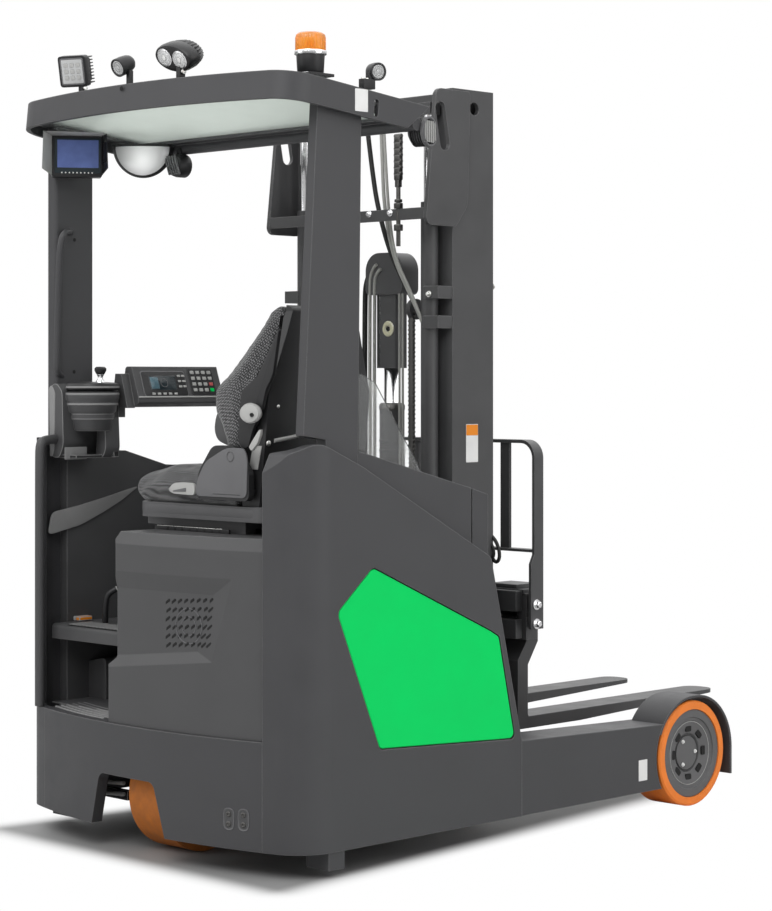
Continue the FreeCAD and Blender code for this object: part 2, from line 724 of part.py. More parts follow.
def seat_shell():
    """Rigid back shell and the hinge covers at the hips."""
    body = new_body("seat_shell")
    pad(body, "YZ", 158, 564,
        [(-322, 1050), (-322, 1165), (-345, 1250), (-362, 1405, 60), (-424, 1598, 20), (-431, 1638),
         (-458, 1630, 15), (-455, 1560, 40), (-430, 1300, 60), (-395, 1050)])
    pocket(body, "XZ", -500, -100, [(140, 1380), (158, 1380), (233, 1620), (233, 1660), (140, 1660)])
    pocket(body, "XZ", -500, -100, [(582, 1380), (564, 1380), (489, 1620), (489, 1660), (582, 1660)])
    for low, high in ((118, 139), (583, 604)):
        pad(body, "YZ", low, high, [(-395, 1068, 20), (-165, 1068, 20), (-172, 1150, 50), (-235, 1228, 45),
                                    (-335, 1228, 45), (-395, 1150, 40)])
    pad(body, "YZ", 118, 604, [(-380, 1080), (-350, 1080), (-350, 1100), (-380, 1100)])


def steering_console():
    """Bracket on the left pillar with a stepped cup that carries the steering disc."""
    body = new_body("steering_console")
    pad(body, "XZ", 568, 580, [(150, 1190), (320, 1190), (320, 1345), (150, 1345)])
    for low, high in ((150, 162), (308, 320)):
        pad(body, "YZ", low, high, [(500, 1190, 15), (569, 1190), (569, 1345), (490, 1345), (500, 1300)])
    pad(body, "YZ", 161, 309, [(506, 1186), (574, 1186), (574, 1196), (506, 1190)])
    pad(body, "XY", 1294, 1322, [(235, 482, 66)])
    pad(body, "XY", 1322, 1346, [(235, 482, 77)])
    pad(body, "XY", 1346, 1378, [(235, 482, 83)])
    pad(body, "XY", 1378, 1385, [(235, 482, 55)])


def steering_wheel():
    """Flat steering disc with its spinner knob, turning on the console."""
    body = new_body("steering_wheel", x=235, y=482, z=1386)
    pad(body, "XY", 0, 8, [(0, 0, 78)])
    pad(body, "XY", 8, 22, [(0, 0, 85)])
    pad(body, "XY", 22, 28, [(0, 0, 80)])
    pad(body, "XY", 28, 52, [(-10, -52, 9)])
    pad(body, "XY", 52, 76, [(-10, -52, 19)])


def display_console():
    """Tilted instrument housing on an arm from the steering console."""
    body = new_body("display_console")
    pad(body, "YZ", 357, 716, [(402, 1363), (438, 1463), (468, 1463, 12), (484, 1370, 20), (440, 1330, 15),
                               (402, 1345, 8)])
    pad(body, "YZ", 326, 357, [(420, 1330), (452, 1440), (482, 1440), (500, 1330)])
    pad(body, "YZ", 320, 357, [(470, 1300), (545, 1300), (545, 1344), (470, 1344)])


def monitor():
    """Camera monitor on an arm from the left pillar, turned towards the seat."""
    body = new_body("monitor")
    turn = FreeCAD.Rotation(Vector(0, 0, 1), -35)
    centre = Vector(215, 515, 0)
    plan = [centre + turn.multVec(Vector(x, y, 0)) for x, y in ((-98, -26), (98, -26), (98, 26), (-98, 26))]
    pad(body, "XY", 2066, 2194, [(round(p.x, 2), round(p.y, 2), 6) for p in plan])
    pad(body, "XZ", 515, 580, [(250, 2130, 14)])


def dome_mirror():
    """Half-round convex mirror hung from the guard's ledge."""
    turn = FreeCAD.Rotation(Vector(0, 0, 1), -45)
    body = new_body("dome_mirror", x=462, y=524, z=2186, turn=turn)
    for depth, radius in ((10, 95), (28, 78), (46, 50)):
        pad(body, "XZ", -depth, 0, [(0, 0, radius)])
    pocket(body, "XY", 0, 120, [(-130, -130), (130, -130), (130, 130), (-130, 130)])
    pad(body, "XY", -12, 0, [(-98, 0), (-12, 0), (-12, 14), (-80, 14), (-80, 32), (-98, 32)])
    pad(body, "XY", -12, guard_underside(428, 48) - 2186, [(-98, 14), (-80, 14), (-80, 32), (-98, 32)])


def lamp(head, stem_at, stem_low, stem_high):
    """Lamp head with a vertical stem."""
    stem = doc.addObject("Part::Box", "LampStem")
    stem.Length = 20
    stem.Width = 16
    stem.Height = stem_high - stem_low
    stem.Placement.Base = Vector(stem_at[0] - 10, stem_at[1] - 8, stem_low)
    whole = doc.addObject("Part::Fuse", "Lamp")
    whole.Base = head
    whole.Tool = stem
    return whole


def round_head(x, y, z, radius, depth):
    head = doc.addObject("Part::Cylinder", "LampHead")
    head.Radius = radius
    head.Height = depth
    head.Placement = FreeCAD.Placement(Vector(x, y, z), FreeCAD.Rotation(Vector(0, 1, 0), 90))
    return head


def cornered_head(x, y, z, half_width, half_height, corner, depth):
    """Head with a rounded outline and a narrower back."""
    head = doc.addObject("PartDesign::Body", "LampHead")
    for low, high, shrink in ((x, x + depth / 2, 0), (x + depth / 2, x + depth, 8)):
        wide = half_width - shrink
        tall = half_height - shrink
        pad(head, "YZ", low, high,
            [(y - wide, z - tall, corner - shrink), (y + wide, z - tall, corner - shrink),
             (y + wide, z + tall, corner - shrink), (y - wide, z + tall, corner - shrink)])
    return head


def work_lamps():
    """Work lamps along the guard, one solid each."""
    heads = ((cornered_head(-26, 300, 2374, 43, 44, 14, 56), (8, 300), 2374),
             (round_head(-20, 40, 2360, 23, 50), (8, 40), 2360),
             (cornered_head(-28, -200, 2362, 66, 37, 36, 80), (8, -200), 2362),
             (round_head(380, -627, 2312, 22, 45), (403, -636), 2312))
    lamps = [lamp(head, stem_at, guard_underside(stem_at[0] - 10, 0), high)
             for head, stem_at, high in heads]
    lamps.append(lamp(round_head(545, -588, 2105, 45, 80), (567, -588), 2105, 2153))
    group = doc.addObject("Part::Compound", "Lamps")
    group.Links = lamps
    put(group, "work_lamps")


BEACON = (172, -598)


def beacon_base():
    """Foot, socket and ring of the warning beacon."""
    body = new_body("beacon_base", x=BEACON[0], y=BEACON[1], z=guard_underside(BEACON[0] - 45, 0))
    pad(body, "XY", 0, 8, [(-45, -51), (45, -51), (45, 45, 10), (-45, 45, 10)])
    pad(body, "XY", 8, 60, [(0, 0, 30)])
    pad(body, "XY", 60, 74, [(0, 0, 39)])


def beacon_lens():
    """Amber lens."""
    body = new_body("beacon_lens", x=BEACON[0], y=BEACON[1], z=guard_underside(BEACON[0] - 45, 0) + 74)
    pad(body, "XY", 0, 46, [(0, 0, 35)])
    pad(body, "XY", 46, 54, [(0, 0, 29)])


# ---------------------------------------------------------------- wheels
def drive_unit():
    """Steered gearbox leg with the motor above it, inside the hood."""
    body = new_body("drive_unit", x="drive_x")
    pad(body, "XY", 356, 388, [(0, 0, 155)])
    pad(body, "XY", 388, 640, [(0, 0, 78)])
    pad(body, "XZ", 84, 118, [(-70, 120, 40), (70, 120, 40), (70, 358), (-70, 358)])
    pad(body, "XZ", 60, 84, [(0, "wheel_centre_height", 38)])


def drive_tyre():
    body = new_body("drive_tyre", x="drive_x", z="wheel_centre_height")
    half = measure("drive_wheel_width") / 2
    pad(body, "XZ", -half, half, [(0, 0, "wheel_radius")])
    pocket(body, "XZ", -half, half, [(0, 0, 135)])


def drive_hub():
    body = new_body("drive_hub", x="drive_x", z="wheel_centre_height")
    half = measure("drive_wheel_width") / 2
    pad(body, "XZ", 4 - half, half - 4, [(0, 0, 135)])
    pocket(body, "XZ", half - 40, half - 4, [(0, 0, 100)])
    pad(body, "XZ", half - 41, half - 18, [(0, 0, 39)])


def load_wheel(side, tyre_label, hub_label):
    """Load wheel about its own axle: polyurethane ring and dished hub with eight windows."""
    face = sided(side, "half_width - 2")
    outward = side
    width = measure("load_wheel_width")
    tyre = new_body(tyre_label, x="wheelbase", y=face, z="wheel_centre_height")
    turned(tyre, "XY",
           [(146, 0), (169, 0), ("wheel_radius", -6 * outward), ("wheel_radius", -width * outward),
            (146, -width * outward)])
    hub = new_body(hub_label, x="wheelbase", y=face, z="wheel_centre_height")
    turned(hub, "XY", [(0, -28 * outward), (50, -28 * outward), (50, -18 * outward), (118, -8 * outward),
                       (118, -2 * outward), (146, -2 * outward), (146, (2 - width) * outward),
                       (30.4, (2 - width) * outward), (30.4, -48 * outward), (0, -48 * outward)])
    low, high = span(side, -60, 5)
    window = pocket(hub, "XZ", low, high, [(56, -10), (78, -13), (78, 13), (56, 10)])
    ringed(hub, [window], "Y", 8)


# ---------------------------------------------------------------- mast
def reach_carriage():
    """Base that carries the mast and rolls in the legs' channels."""
    body = new_body("reach_carriage")
    pad(body, "XY", "mast_foot", "mast_foot + 18",
        [(952, "- mast_half"), (1207, "- mast_half"), (1207, "mast_half"), (952, "mast_half")])
    pad(body, "XY", "mast_foot + 18", 260, [(952, -250), (995, -250), (995, 250), (952, 250)])
    for side in (RIGHT, LEFT):
        low, high = span(side, "mast_half", "mast_half + 32")
        pad(body, "XZ", low, high,
            [(680, "mast_foot", 20), (1207, "mast_foot"), (1207, 480, 40), (1007, 480, 60),
             (959, 294, 30), (680, 294, 20)])
        for roller_x in (740, 1030):
            low, high = span(side, "mast_half + 31", "leg_inner + 40")
            pad(body, "XZ", low, high, [(roller_x, 187, 22)])
            low, high = span(side, "leg_inner + 4", "leg_inner + 38")
            pad(body, "XZ", low, high, [(roller_x, 187, 56.7)])


def reach_cylinder():
    """Tube that pushes the mast forward, seated in the crossmember."""
    body = new_body("reach_cylinder", y=-220, z=200)
    pad(body, "YZ", 305, 895, [(0, 0, 34)])
    pad(body, "YZ", 500, 520, [(0, 0, 48)])
    pocket(body, "YZ", 315, 895, [(0, 0, 20.3)])


def reach_rod():
    body = new_body("reach_rod", y=-220, z=200)
    pad(body, "YZ", 322, 952, [(0, 0, 20)])


def mast_rails(body, rear, depth, outer, web, flange, thick, low, high):
    """Pair of channels open towards the centre line."""
    for side in (RIGHT, LEFT):
        plan = [(rear, outer), (rear + depth, outer), (rear + depth, outer - flange),
                (rear + depth - thick, outer - flange), (rear + depth - thick, outer - web),
                (rear + thick, outer - web), (rear + thick, outer - flange), (rear, outer - flange)]
        pad(body, "XY", low, high, [(x, sided(side, y)) for x, y in plan])


def outer_mast():
    """Fixed stage: two deep channels on the reach carriage."""
    body = new_body("outer_mast")
    body.AllowCompound = True
    rear = measure("mast_rear")
    mast_rails(body, rear, measure("mast_depth"), measure("mast_half"), 16, 68, 18, "mast_foot + 18",
               "mast_top")
    pocket(body, "XZ", "- mast_half", "mast_half", [(1115, 2286, 21)])


def mast_head():
    """Side plates at the top of the fixed stage, with the tie that anchors the lift chains."""
    body = new_body("mast_head")
    pad(body, "XY", 1925, 1961,
        [(884, "- mast_half"), (894, "- mast_half"), (894, "mast_half"), (884, "mast_half")])
    for side in (RIGHT, LEFT):
        low, high = span(side, "mast_half", "mast_half + 14")
        pad(body, "XZ", low, high, [(878, 1905, 25), (1016, 1905, 20), (1070, 1975, 50), (1082, 2337, 12),
                                    (926, 2337, 25)])
        pocket(body, "XZ", low, high, [(947, 2138, 20), (990, 2150, 20), (961, 2300, 20), (918, 2288, 20)])


def lift_cylinders():
    """Tubes behind the fixed channels, with the clamps that hold them."""
    tubes = []
    for side in (RIGHT, LEFT):
        body = doc.addObject("PartDesign::Body", "LiftTube")
        pad(body, "XY", "mast_foot + 18", 1985,
            [("lift_tube_x", sided(side, "lift_tube_y"), "lift_tube_radius")])
        low, high = span(side, 290, 356)
        for bottom in (1583, 1677):
            pad(body, "XY", bottom, bottom + 40,
                [(949, low), ("mast_rear", low), ("mast_rear", high), (949, high)])
        pocket(body, "XY", 200, 1985, [("lift_tube_x", sided(side, "lift_tube_y"), 18.3)])
        tubes.append(body)
    both = doc.addObject("Part::Compound", "LiftTubes")
    both.Links = tubes
    put(both, "lift_cylinders")


def middle_mast():
    """Second stage, running inside the fixed channels, with the brackets the rods push on."""
    body = new_body("middle_mast")
    for low, high in ((2255, 2335), (140, 200)):
        pad(body, "XY", low, high, [(1037, -308), (1052.9, -308), (1052.9, 308), (1037, 308)])
    mast_rails(body, 1037, 144, 322, 16, 74, 16, 130, 2340)
    for side in (RIGHT, LEFT):
        low, high = span(side, 258, 284)
        pad(body, "XY", 2262, 2300, [(977, low), (1037, low), (1037, high), (977, high)])
        low, high = span(side, 258, 312)
        pad(body, "XY", 2262, 2300, [(957, low), (1005, low), (1005, high), (957, high)])


def lift_rods():
    """Chromed rods between the fixed tubes and the second stage."""
    rods = []
    for side in (RIGHT, LEFT):
        body = doc.addObject("PartDesign::Body", "LiftRod")
        pad(body, "XY", 260, 2262, [("lift_tube_x", sided(side, "lift_tube_y"), 18)])
        rods.append(body)
    both = doc.addObject("Part::Compound", "LiftRods")
    both.Links = rods
    put(both, "lift_rods")


def inner_mast():
    """Third stage, inside the second."""
    body = new_body("inner_mast")
    pad(body, "XY", 2245, 2330, [(1058, -274), (1071.9, -274), (1071.9, 274), (1058, 274)])
    pad(body, "XY", 140, 200, [(1058, -274), (1159, -274), (1159, 274), (1058, 274)])
    mast_rails(body, 1058, 102, 286, 14, 66, 14, 130, 2335)


def free_lift_cylinder():
    """Centre tube that raises the carriage before the stages move."""
    body = new_body("free_lift_cylinder", x="free_lift_x")
    pad(body, "XY", 200, 1331, [(0, 0, 42)])
    pocket(body, "XY", 260, 1331, [(0, 0, 25.3)])


def free_lift_head():
    """Rod, crosshead and chain pulleys of the centre cylinder."""
    body = new_body("free_lift_head", x="free_lift_x")
    pad(body, "XY", 400, 1460, [(0, 0, 25)])
    pad(body, "XY", 1459, 1716, [(-28, -45, 6), (28, -45, 6), (28, 45, 6), (-28, 45, 6)])
    pad(body, "YZ", -38, 38, [(-85, 1700, 20), (85, 1700, 20), (85, 1838, 60), (-85, 1838, 60)])


def fork_carriage():
    """Frame that climbs the third stage on rollers and reaches forward to the forks."""
    body = new_body("fork_carriage")
    pad(body, "YZ", 1350, 1370, [(-203, 480), (203, 480), (203, 740), (-203, 740)])
    for side in (RIGHT, LEFT):
        low, high = span(side, 194, 214)
        pad(body, "XZ", low, high,
            [(1082, 440, 20), (1200, 440), (1420, 466, 15), (1420, 534, 15), (1372, 560),
             (1372, 760, 20), (1082, 760, 30)])
        pocket(body, "XZ", low, high, [("tilt_x", "tilt_z", 15.3)])
        for height in (500, 700):
            low, high = span(side, 213, 243)
            pad(body, "XZ", low, high, [(1109, height, 36.7)])


def tilt_frame():
    """Bars that tip with the forks about the lower pins."""
    body = new_body("tilt_frame")
    for low, high in ((655, 722), (565, 627)):
        pad(body, "YZ", 1395, 1425, [(-285, low), (285, low), (285, high), (-285, high)])
    for side in (RIGHT, LEFT):
        low, high = span(side, 161, 189)
        pad(body, "XZ", low, high, [(1385, 478, 12), (1425, 478, 12), (1425, 722), (1395, 722), (1395, 560),
                                    (1385, 540)])
        low, high = span(side, 188, 222)
        pad(body, "XZ", low, high, [("tilt_x", "tilt_z", 15)])


def sideshift_frame():
    """Fork bars that slide across the tilting frame."""
    body = new_body("sideshift_frame")
    for low, high in ((650, 712), (560, 632)):
        pad(body, "YZ", 1430.3, 1484, [(-300, low), (300, low), (300, high), (-300, high)])
    for side in (RIGHT, LEFT):
        low, high = span(side, 258, 299)
        pad(body, "YZ", 1430.3, 1450, [(low, 560), (high, 560), (high, 712), (low, 712)])
    pad(body, "YZ", 1426, 1484, [(-292, 712), (292, 712), (292, 726), (-292, 726)])


def load_backrest():
    """Bent strip with uprights and a crossbar, bolted to the ends of the fork bars."""
    body = new_body("load_backrest")
    half = "backrest_half"
    strip = 11
    inner = measure(half) - strip
    top = measure("backrest_top") - strip
    pad(body, "YZ", 1412, 1456,
        [("- backrest_half", 600), (-inner, 600), (-inner, top, 60 - strip), (inner, top, 60 - strip),
         (inner, 600), ("backrest_half", 600), ("backrest_half", "backrest_top", 60),
         ("- backrest_half", "backrest_top", 60)])
    for side in (RIGHT, LEFT):
        low, high = span(side, inner, measure(half))
        pad(body, "XZ", low, high, [(1396, 600, 6), (1456, 600, 6), (1456, 845), (1412, 845), (1396, 815)])
        low, high = span(side, 300, inner)
        pad(body, "XZ", low, high, [(1440, 600), (1456, 600), (1456, 712), (1440, 712)])
        low, high = span(side, 190, 230)
        pad(body, "YZ", 1424, 1434, [(low, 860), (high, 860), (high, top), (low, top)])
    pad(body, "XZ", -inner, inner, [(1414, 852), (1454, 852), (1454, 861), (1414, 861)])


def fork(side, label):
    """Cranked hook-type fork with a tapered blade."""
    body = new_body(label)
    low, high = span(side, "fork_inner", "fork_inner + fork_width")
    pad(body, "XZ", low, high,
        [(1440, 257, 14), (1760, 257), ("fork_tip", "fork_top - 12"), ("fork_tip", "fork_top"),
         (1490, "fork_top", 8), (1490, 470), (1540, 545), (1540, 740), (1434, 740, 4), (1434, 726),
         (1484, 726), (1484, 550), (1440, 486)])
    for y in (low, high):
        dress(body, "Fillet", 48, upright_at("fork_tip", y))


# ---------------------------------------------------------------- build, check and write
for make in (chassis_skirt, green_panels, wheel_covers, chassis_deck, chassis_crossmember,
             rear_feet, seat_hood, entry_step, cab_wall_left, bulkhead, battery, battery_cover,
             guard_frame, guard_glass, pillar_right, pillar_left, clear_screen, seat_suspension,
             seat_cushion, seat_back, seat_shell, steering_console, steering_wheel, display_console,
             monitor, dome_mirror, work_lamps, beacon_base, beacon_lens, drive_unit, drive_tyre,
             drive_hub, reach_carriage, reach_cylinder, reach_rod, outer_mast, mast_head,
             lift_cylinders, middle_mast, lift_rods, inner_mast, free_lift_cylinder, free_lift_head,
             fork_carriage, tilt_frame, sideshift_frame, load_backrest):
    make()
side_panel(RIGHT, "side_panel_right", RIGHT_TOP)
side_panel(LEFT, "side_panel_left", LEFT_TOP)
for side, name in ((RIGHT, "right"), (LEFT, "left")):
    leg(side, "leg_" + name)
    load_wheel(side, "load_tyre_" + name, "load_hub_" + name)
    fork(side, "fork_" + name)

doc.recompute()
for item in doc.Objects:
    if "Invalid" in item.State or "Error" in item.State:
        raise RuntimeError(f"{item.Name} failed: {item.State}")
for label, item in parts.items():
    shape = item.Shape
    if shape.isNull() or not shape.isValid() or not shape.Solids:
        raise RuntimeError(f"{label} has no valid solid")
    shape.exportStep(f"parts/{label}.step")
    print(f"{label:22s} {len(shape.Solids)} solid(s) {shape.Volume / 1e6:9.2f} litres")
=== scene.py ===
import math
import bmesh
import bpy
from mathutils import Matrix, Vector


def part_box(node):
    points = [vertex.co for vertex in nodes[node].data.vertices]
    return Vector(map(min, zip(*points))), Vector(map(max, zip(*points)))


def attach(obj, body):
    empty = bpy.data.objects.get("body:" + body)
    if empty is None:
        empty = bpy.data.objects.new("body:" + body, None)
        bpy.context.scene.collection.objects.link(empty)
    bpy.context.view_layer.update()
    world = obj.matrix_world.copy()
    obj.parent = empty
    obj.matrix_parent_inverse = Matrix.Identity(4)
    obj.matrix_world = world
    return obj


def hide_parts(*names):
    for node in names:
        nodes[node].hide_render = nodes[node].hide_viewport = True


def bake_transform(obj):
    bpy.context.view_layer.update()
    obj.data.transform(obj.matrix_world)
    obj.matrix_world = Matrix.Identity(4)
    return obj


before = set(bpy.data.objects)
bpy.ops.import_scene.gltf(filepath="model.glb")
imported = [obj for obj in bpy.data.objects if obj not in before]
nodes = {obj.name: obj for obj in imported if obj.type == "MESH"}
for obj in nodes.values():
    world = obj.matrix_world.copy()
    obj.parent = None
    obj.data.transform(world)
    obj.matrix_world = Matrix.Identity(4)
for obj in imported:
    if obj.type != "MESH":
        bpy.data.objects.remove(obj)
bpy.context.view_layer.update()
scene = bpy.context.scene
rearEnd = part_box("chassis_skirt")[0].x
print("frame loaded")


def assign(thing, **settings):
    for name, value in settings.items():
        setattr(thing, name, value)
    return thing


# node helpers: a node handed in as a value stands for its first output
def feed(node, inputs):
    for name, value in inputs.items():
        socket = node.inputs[name.replace("_", " ") if isinstance(name, str) else name]
        if isinstance(value, bpy.types.Node):
            value = value.outputs[0]
        if isinstance(value, bpy.types.NodeSocket):
            node.id_data.links.new(value, socket)
        else:
            socket.default_value = value


def wire(tree, kind, inputs=None, **settings):
    node = tree.nodes.new(kind if kind.startswith(("Geometry", "NodeGroup")) else "ShaderNode" + kind)
    assign(node, **settings)
    feed(node, inputs or {})
    return node


def reckon(tree, operation, first, second=None, kind="Math"):
    return wire(tree, kind, {0: first} if second is None else {0: first, 1: second}, operation=operation)


def onVectors(tree, operation, first, second=None):
    return reckon(tree, operation, first, second, "VectorMath")


def blended(tree, share, low, high):
    return wire(tree, "Mix", {0: share, 6: low, 7: high}, data_type="RGBA").outputs[2]


def spread(tree, value, low, high, start=0, end=1, **settings):
    return wire(tree, "MapRange", {0: value, 1: low, 2: high, 3: start, 4: end}, **settings)


def noise(tree, place, scale, detail, rough=0.5):
    return wire(tree, "TexNoise", {"Vector": place, "Scale": scale, "Detail": detail, "Roughness": rough})


def rgb(colour, factor=1.0):
    return tuple(min(1, channel * factor) for channel in colour) + (1,)


def newMaterial(name):
    material = bpy.data.materials.new(name)
    material.use_nodes = True
    tree = material.node_tree
    tree.nodes.clear()
    surface = wire(tree, "BsdfPrincipled")
    wire(tree, "OutputMaterial", {"Surface": surface})
    return material, tree, surface, wire(tree, "TexCoord").outputs["Object"]


# painted, moulded or bare surface: fine grain, slow colour mottle and painted highlights along the edges
def surfaceFinish(name, colour, rough=0.5, metal=0, grain=0.0006, relief=4e-5, mottle=0.05, patch=0.12,
                  roughSpan=0.08, worn=0, wornColour=(0.35, 0.35, 0.36), rounding=0.0025, **fixed):
    material, tree, surface, place = newMaterial(name)
    fine = noise(tree, place, 1 / grain, 3, 0.6)
    slow = noise(tree, place, 1 / patch, 5, 0.55)
    skin = blended(tree, slow, rgb(colour, 1 - mottle * 3), rgb(colour, 1 + mottle * 3))
    soft = wire(tree, "Bevel", {"Radius": rounding}, samples=4)
    # painted highlight: where the rounded normal turns away from the flat one the colour is lightened towards
    # wornColour, broken up by the slow noise
    if worn:
        flat = wire(tree, "NewGeometry").outputs["Normal"]
        turn = onVectors(tree, "DOT_PRODUCT", soft, flat).outputs["Value"]
        edge = spread(tree, turn, 0.97, 0.8, 0, worn)
        skin = blended(tree, reckon(tree, "MULTIPLY", edge, slow), skin, rgb(wornColour))
    gloss = spread(tree, slow, 0.3, 0.7, rough - roughSpan, rough + roughSpan)
    bump = wire(tree, "Bump", {"Height": fine, "Normal": soft, "Strength": 1, "Distance": relief})
    feed(surface, {"Base Color": skin, "Roughness": gloss, "Normal": bump, "Metallic": metal,
                   "Specular IOR Level": 0.5 if metal else 0.3, **fixed})
    return material


# glass or clear plastic with a faint tint and slight smears
def clearFinish(name, colour, rough, **fixed):
    material, tree, surface, place = newMaterial(name)
    gloss = spread(tree, noise(tree, place, 9, 6), 0.4, 0.75, rough, rough + 0.06)
    feed(surface, {"Roughness": gloss, "Base Color": rgb(colour), **fixed})
    return material


# knitted seat cloth: rows of small loops with dark gaps, and a soft sheen
def knitFinish(name, loop, gap, pitch, relief, **fixed):
    material, tree, surface, place = newMaterial(name)
    turned = wire(tree, "Mapping", {"Vector": place, "Rotation": (0.6, 0.5, 0.35)})
    cells = wire(tree, "TexVoronoi", {"Vector": turned, "Scale": 1 / pitch, "Randomness": 0.2})
    hole = spread(tree, cells, 0.3, 0.52)
    shade = blended(tree, noise(tree, place, 14, 4), rgb(loop, 0.75), rgb(loop, 1.2))
    skin = blended(tree, hole, shade, rgb(gap))
    height = reckon(tree, "SUBTRACT", 1.0, hole)
    bump = wire(tree, "Bump", {"Height": height, "Strength": 1, "Distance": relief})
    feed(surface, {"Base Color": skin, "Normal": bump, **fixed})
    return material


# convex mirror with a painted reflection: bright in the middle and greyer towards the rim, shown through its emission
# as well, so it glows
def paintedReflectionFinish(name, spot, reach, inner, outer, **fixed):
    material, tree, surface, place = newMaterial(name)
    share = spread(tree, onVectors(tree, "DISTANCE", place, spot).outputs["Value"], 0, reach)
    tone = blended(tree, share, rgb(inner), rgb(outer))
    feed(surface, {"Base Color": tone, "Emission Color": tone, **fixed})
    return material


# worn and wornColour set the painted highlights along the edges
paints = {
    "bodyPaint": dict(colour=(0.052, 0.052, 0.055), grain=0.0011, relief=0.00012, mottle=0.04, worn=0.9,
                      wornColour=(0.3, 0.3, 0.3), rounding=0.005),
    "greenPaint": dict(colour=(0.0, 0.66, 0.125), Specular_IOR_Level=0.1, mottle=0.02, relief=3e-5, worn=0.15,
                       wornColour=(0.3, 0.7, 0.4)),
    "cabPlastic": dict(colour=(0.066, 0.066, 0.068), grain=0.0009, relief=0.0001, mottle=0.04, worn=0.8,
                       wornColour=(0.34, 0.34, 0.34), rounding=0.005),
    "blackPlastic": dict(colour=(0.014, 0.014, 0.015), rough=0.42, grain=0.0008, relief=6e-5),
    "greyPlastic": dict(colour=(0.13, 0.13, 0.135), grain=0.0008, relief=6e-5),
    "midGrey": dict(colour=(0.24, 0.24, 0.24), grain=0.0008, relief=5e-5),
    # painted shade: the drive tyre is a darker orange than the load tyres because it stands in shade; its streaky
    # mottle is wear
    "wornAndShadedTyre": dict(colour=(0.42, 0.13, 0.02), rough=0.6, mottle=0.12, patch=0.03, grain=0.002, relief=0.0002),
    "paleGrey": dict(colour=(0.42, 0.42, 0.41), grain=0.0008, relief=5e-5),
    "mastPaint": dict(colour=(0.066, 0.066, 0.068), rough=0.42, worn=0.9, wornColour=(0.34, 0.34, 0.34),
                      rounding=0.004),
    "batteryPaint": dict(colour=(0.045, 0.045, 0.048), mottle=0.04),
    "hubPaint": dict(colour=(0.11, 0.11, 0.112), grain=0.0018, relief=0.0002, worn=0.4),
    "seatSteel": dict(colour=(0.022, 0.022, 0.023), rough=0.4),
    "tray": dict(colour=(0.09, 0.09, 0.093), rough=0.45, grain=0.001, relief=8e-5, worn=0.5),
    "chrome": dict(colour=(0.78, 0.78, 0.79), rough=0.12, metal=1, roughSpan=0.04, relief=5e-6),
    "zinc": dict(colour=(0.62, 0.62, 0.6), rough=0.3, metal=1, relief=2e-5, mottle=0.06),
    "chainSteel": dict(colour=(0.09, 0.088, 0.085), rough=0.42, metal=1, mottle=0.1, relief=3e-5),
    "tyreOrange": dict(colour=(0.84, 0.22, 0.03), mottle=0.06, patch=0.05, grain=0.0015, relief=0.0001,
                       rounding=0.004),
    "rubber": dict(colour=(0.012, 0.012, 0.012), rough=0.6, relief=8e-5),
    "paleHose": dict(colour=(0.36, 0.36, 0.34), rough=0.45),
    "whitePaint": dict(colour=(0.8, 0.8, 0.79), rough=0.4),
    "creamPlastic": dict(colour=(0.62, 0.6, 0.42), rough=0.4, patch=0.01, mottle=0.08),
    "orangePlastic": dict(colour=(0.85, 0.27, 0.02), rough=0.4),
    "redPlastic": dict(colour=(0.5, 0.1, 0.1), rough=0.4),
    "screenBlue": dict(colour=(0.12, 0.17, 0.42), rough=0.2, patch=0.05, mottle=0.12, relief=5e-6),
    "displayDark": dict(colour=(0.02, 0.03, 0.035), rough=0.15, relief=5e-6),
    "displayBlue": dict(colour=(0.09, 0.17, 0.21), rough=0.15, patch=0.01, mottle=0.15, relief=5e-6),
    # near-black finish for holes, slots and recesses: painted shade standing in for the dark inside them
    "darkHollow": dict(colour=(0.004, 0.004, 0.004), rough=0.7),
}
look = {name: surfaceFinish(name, **numbers) for name, numbers in paints.items()}
clears = {
    "roofGlass": dict(colour=(0.73, 0.79, 0.74), rough=0.5, IOR=1.2, Transmission_Weight=1.0, Specular_IOR_Level=0.1),
    "screenPlastic": dict(colour=(0.96, 0.97, 0.97), rough=0.02, IOR=1.3, Transmission_Weight=0.96),
    "amber": dict(colour=(1.0, 0.36, 0.03), rough=0.08, IOR=1.45, Transmission_Weight=0.5),
    "lensGlass": dict(colour=(0.86, 0.87, 0.87), rough=0.08, IOR=1.45, Transmission_Weight=0.45),
}
look.update((name, clearFinish(name, **numbers)) for name, numbers in clears.items())
# painted reflection: the mirror's bright middle and grey rim are put into its colour and a weak emission
look["mirrorSilver"] = paintedReflectionFinish("mirrorPaintedReflection", (rearEnd + 0.44, 0.49, 2.13), 0.1, (0.95, 0.95, 0.95),
                                    (0.2, 0.2, 0.205), Roughness=0.22, Emission_Strength=0.35, Metallic=0.2)
look["seatKnit"] = knitFinish("seatKnit", (0.2, 0.2, 0.205), (0.007, 0.007, 0.008), 0.0058, 0.0011,
                              Roughness=0.85, Sheen_Weight=0.35, Sheen_Roughness=0.5)

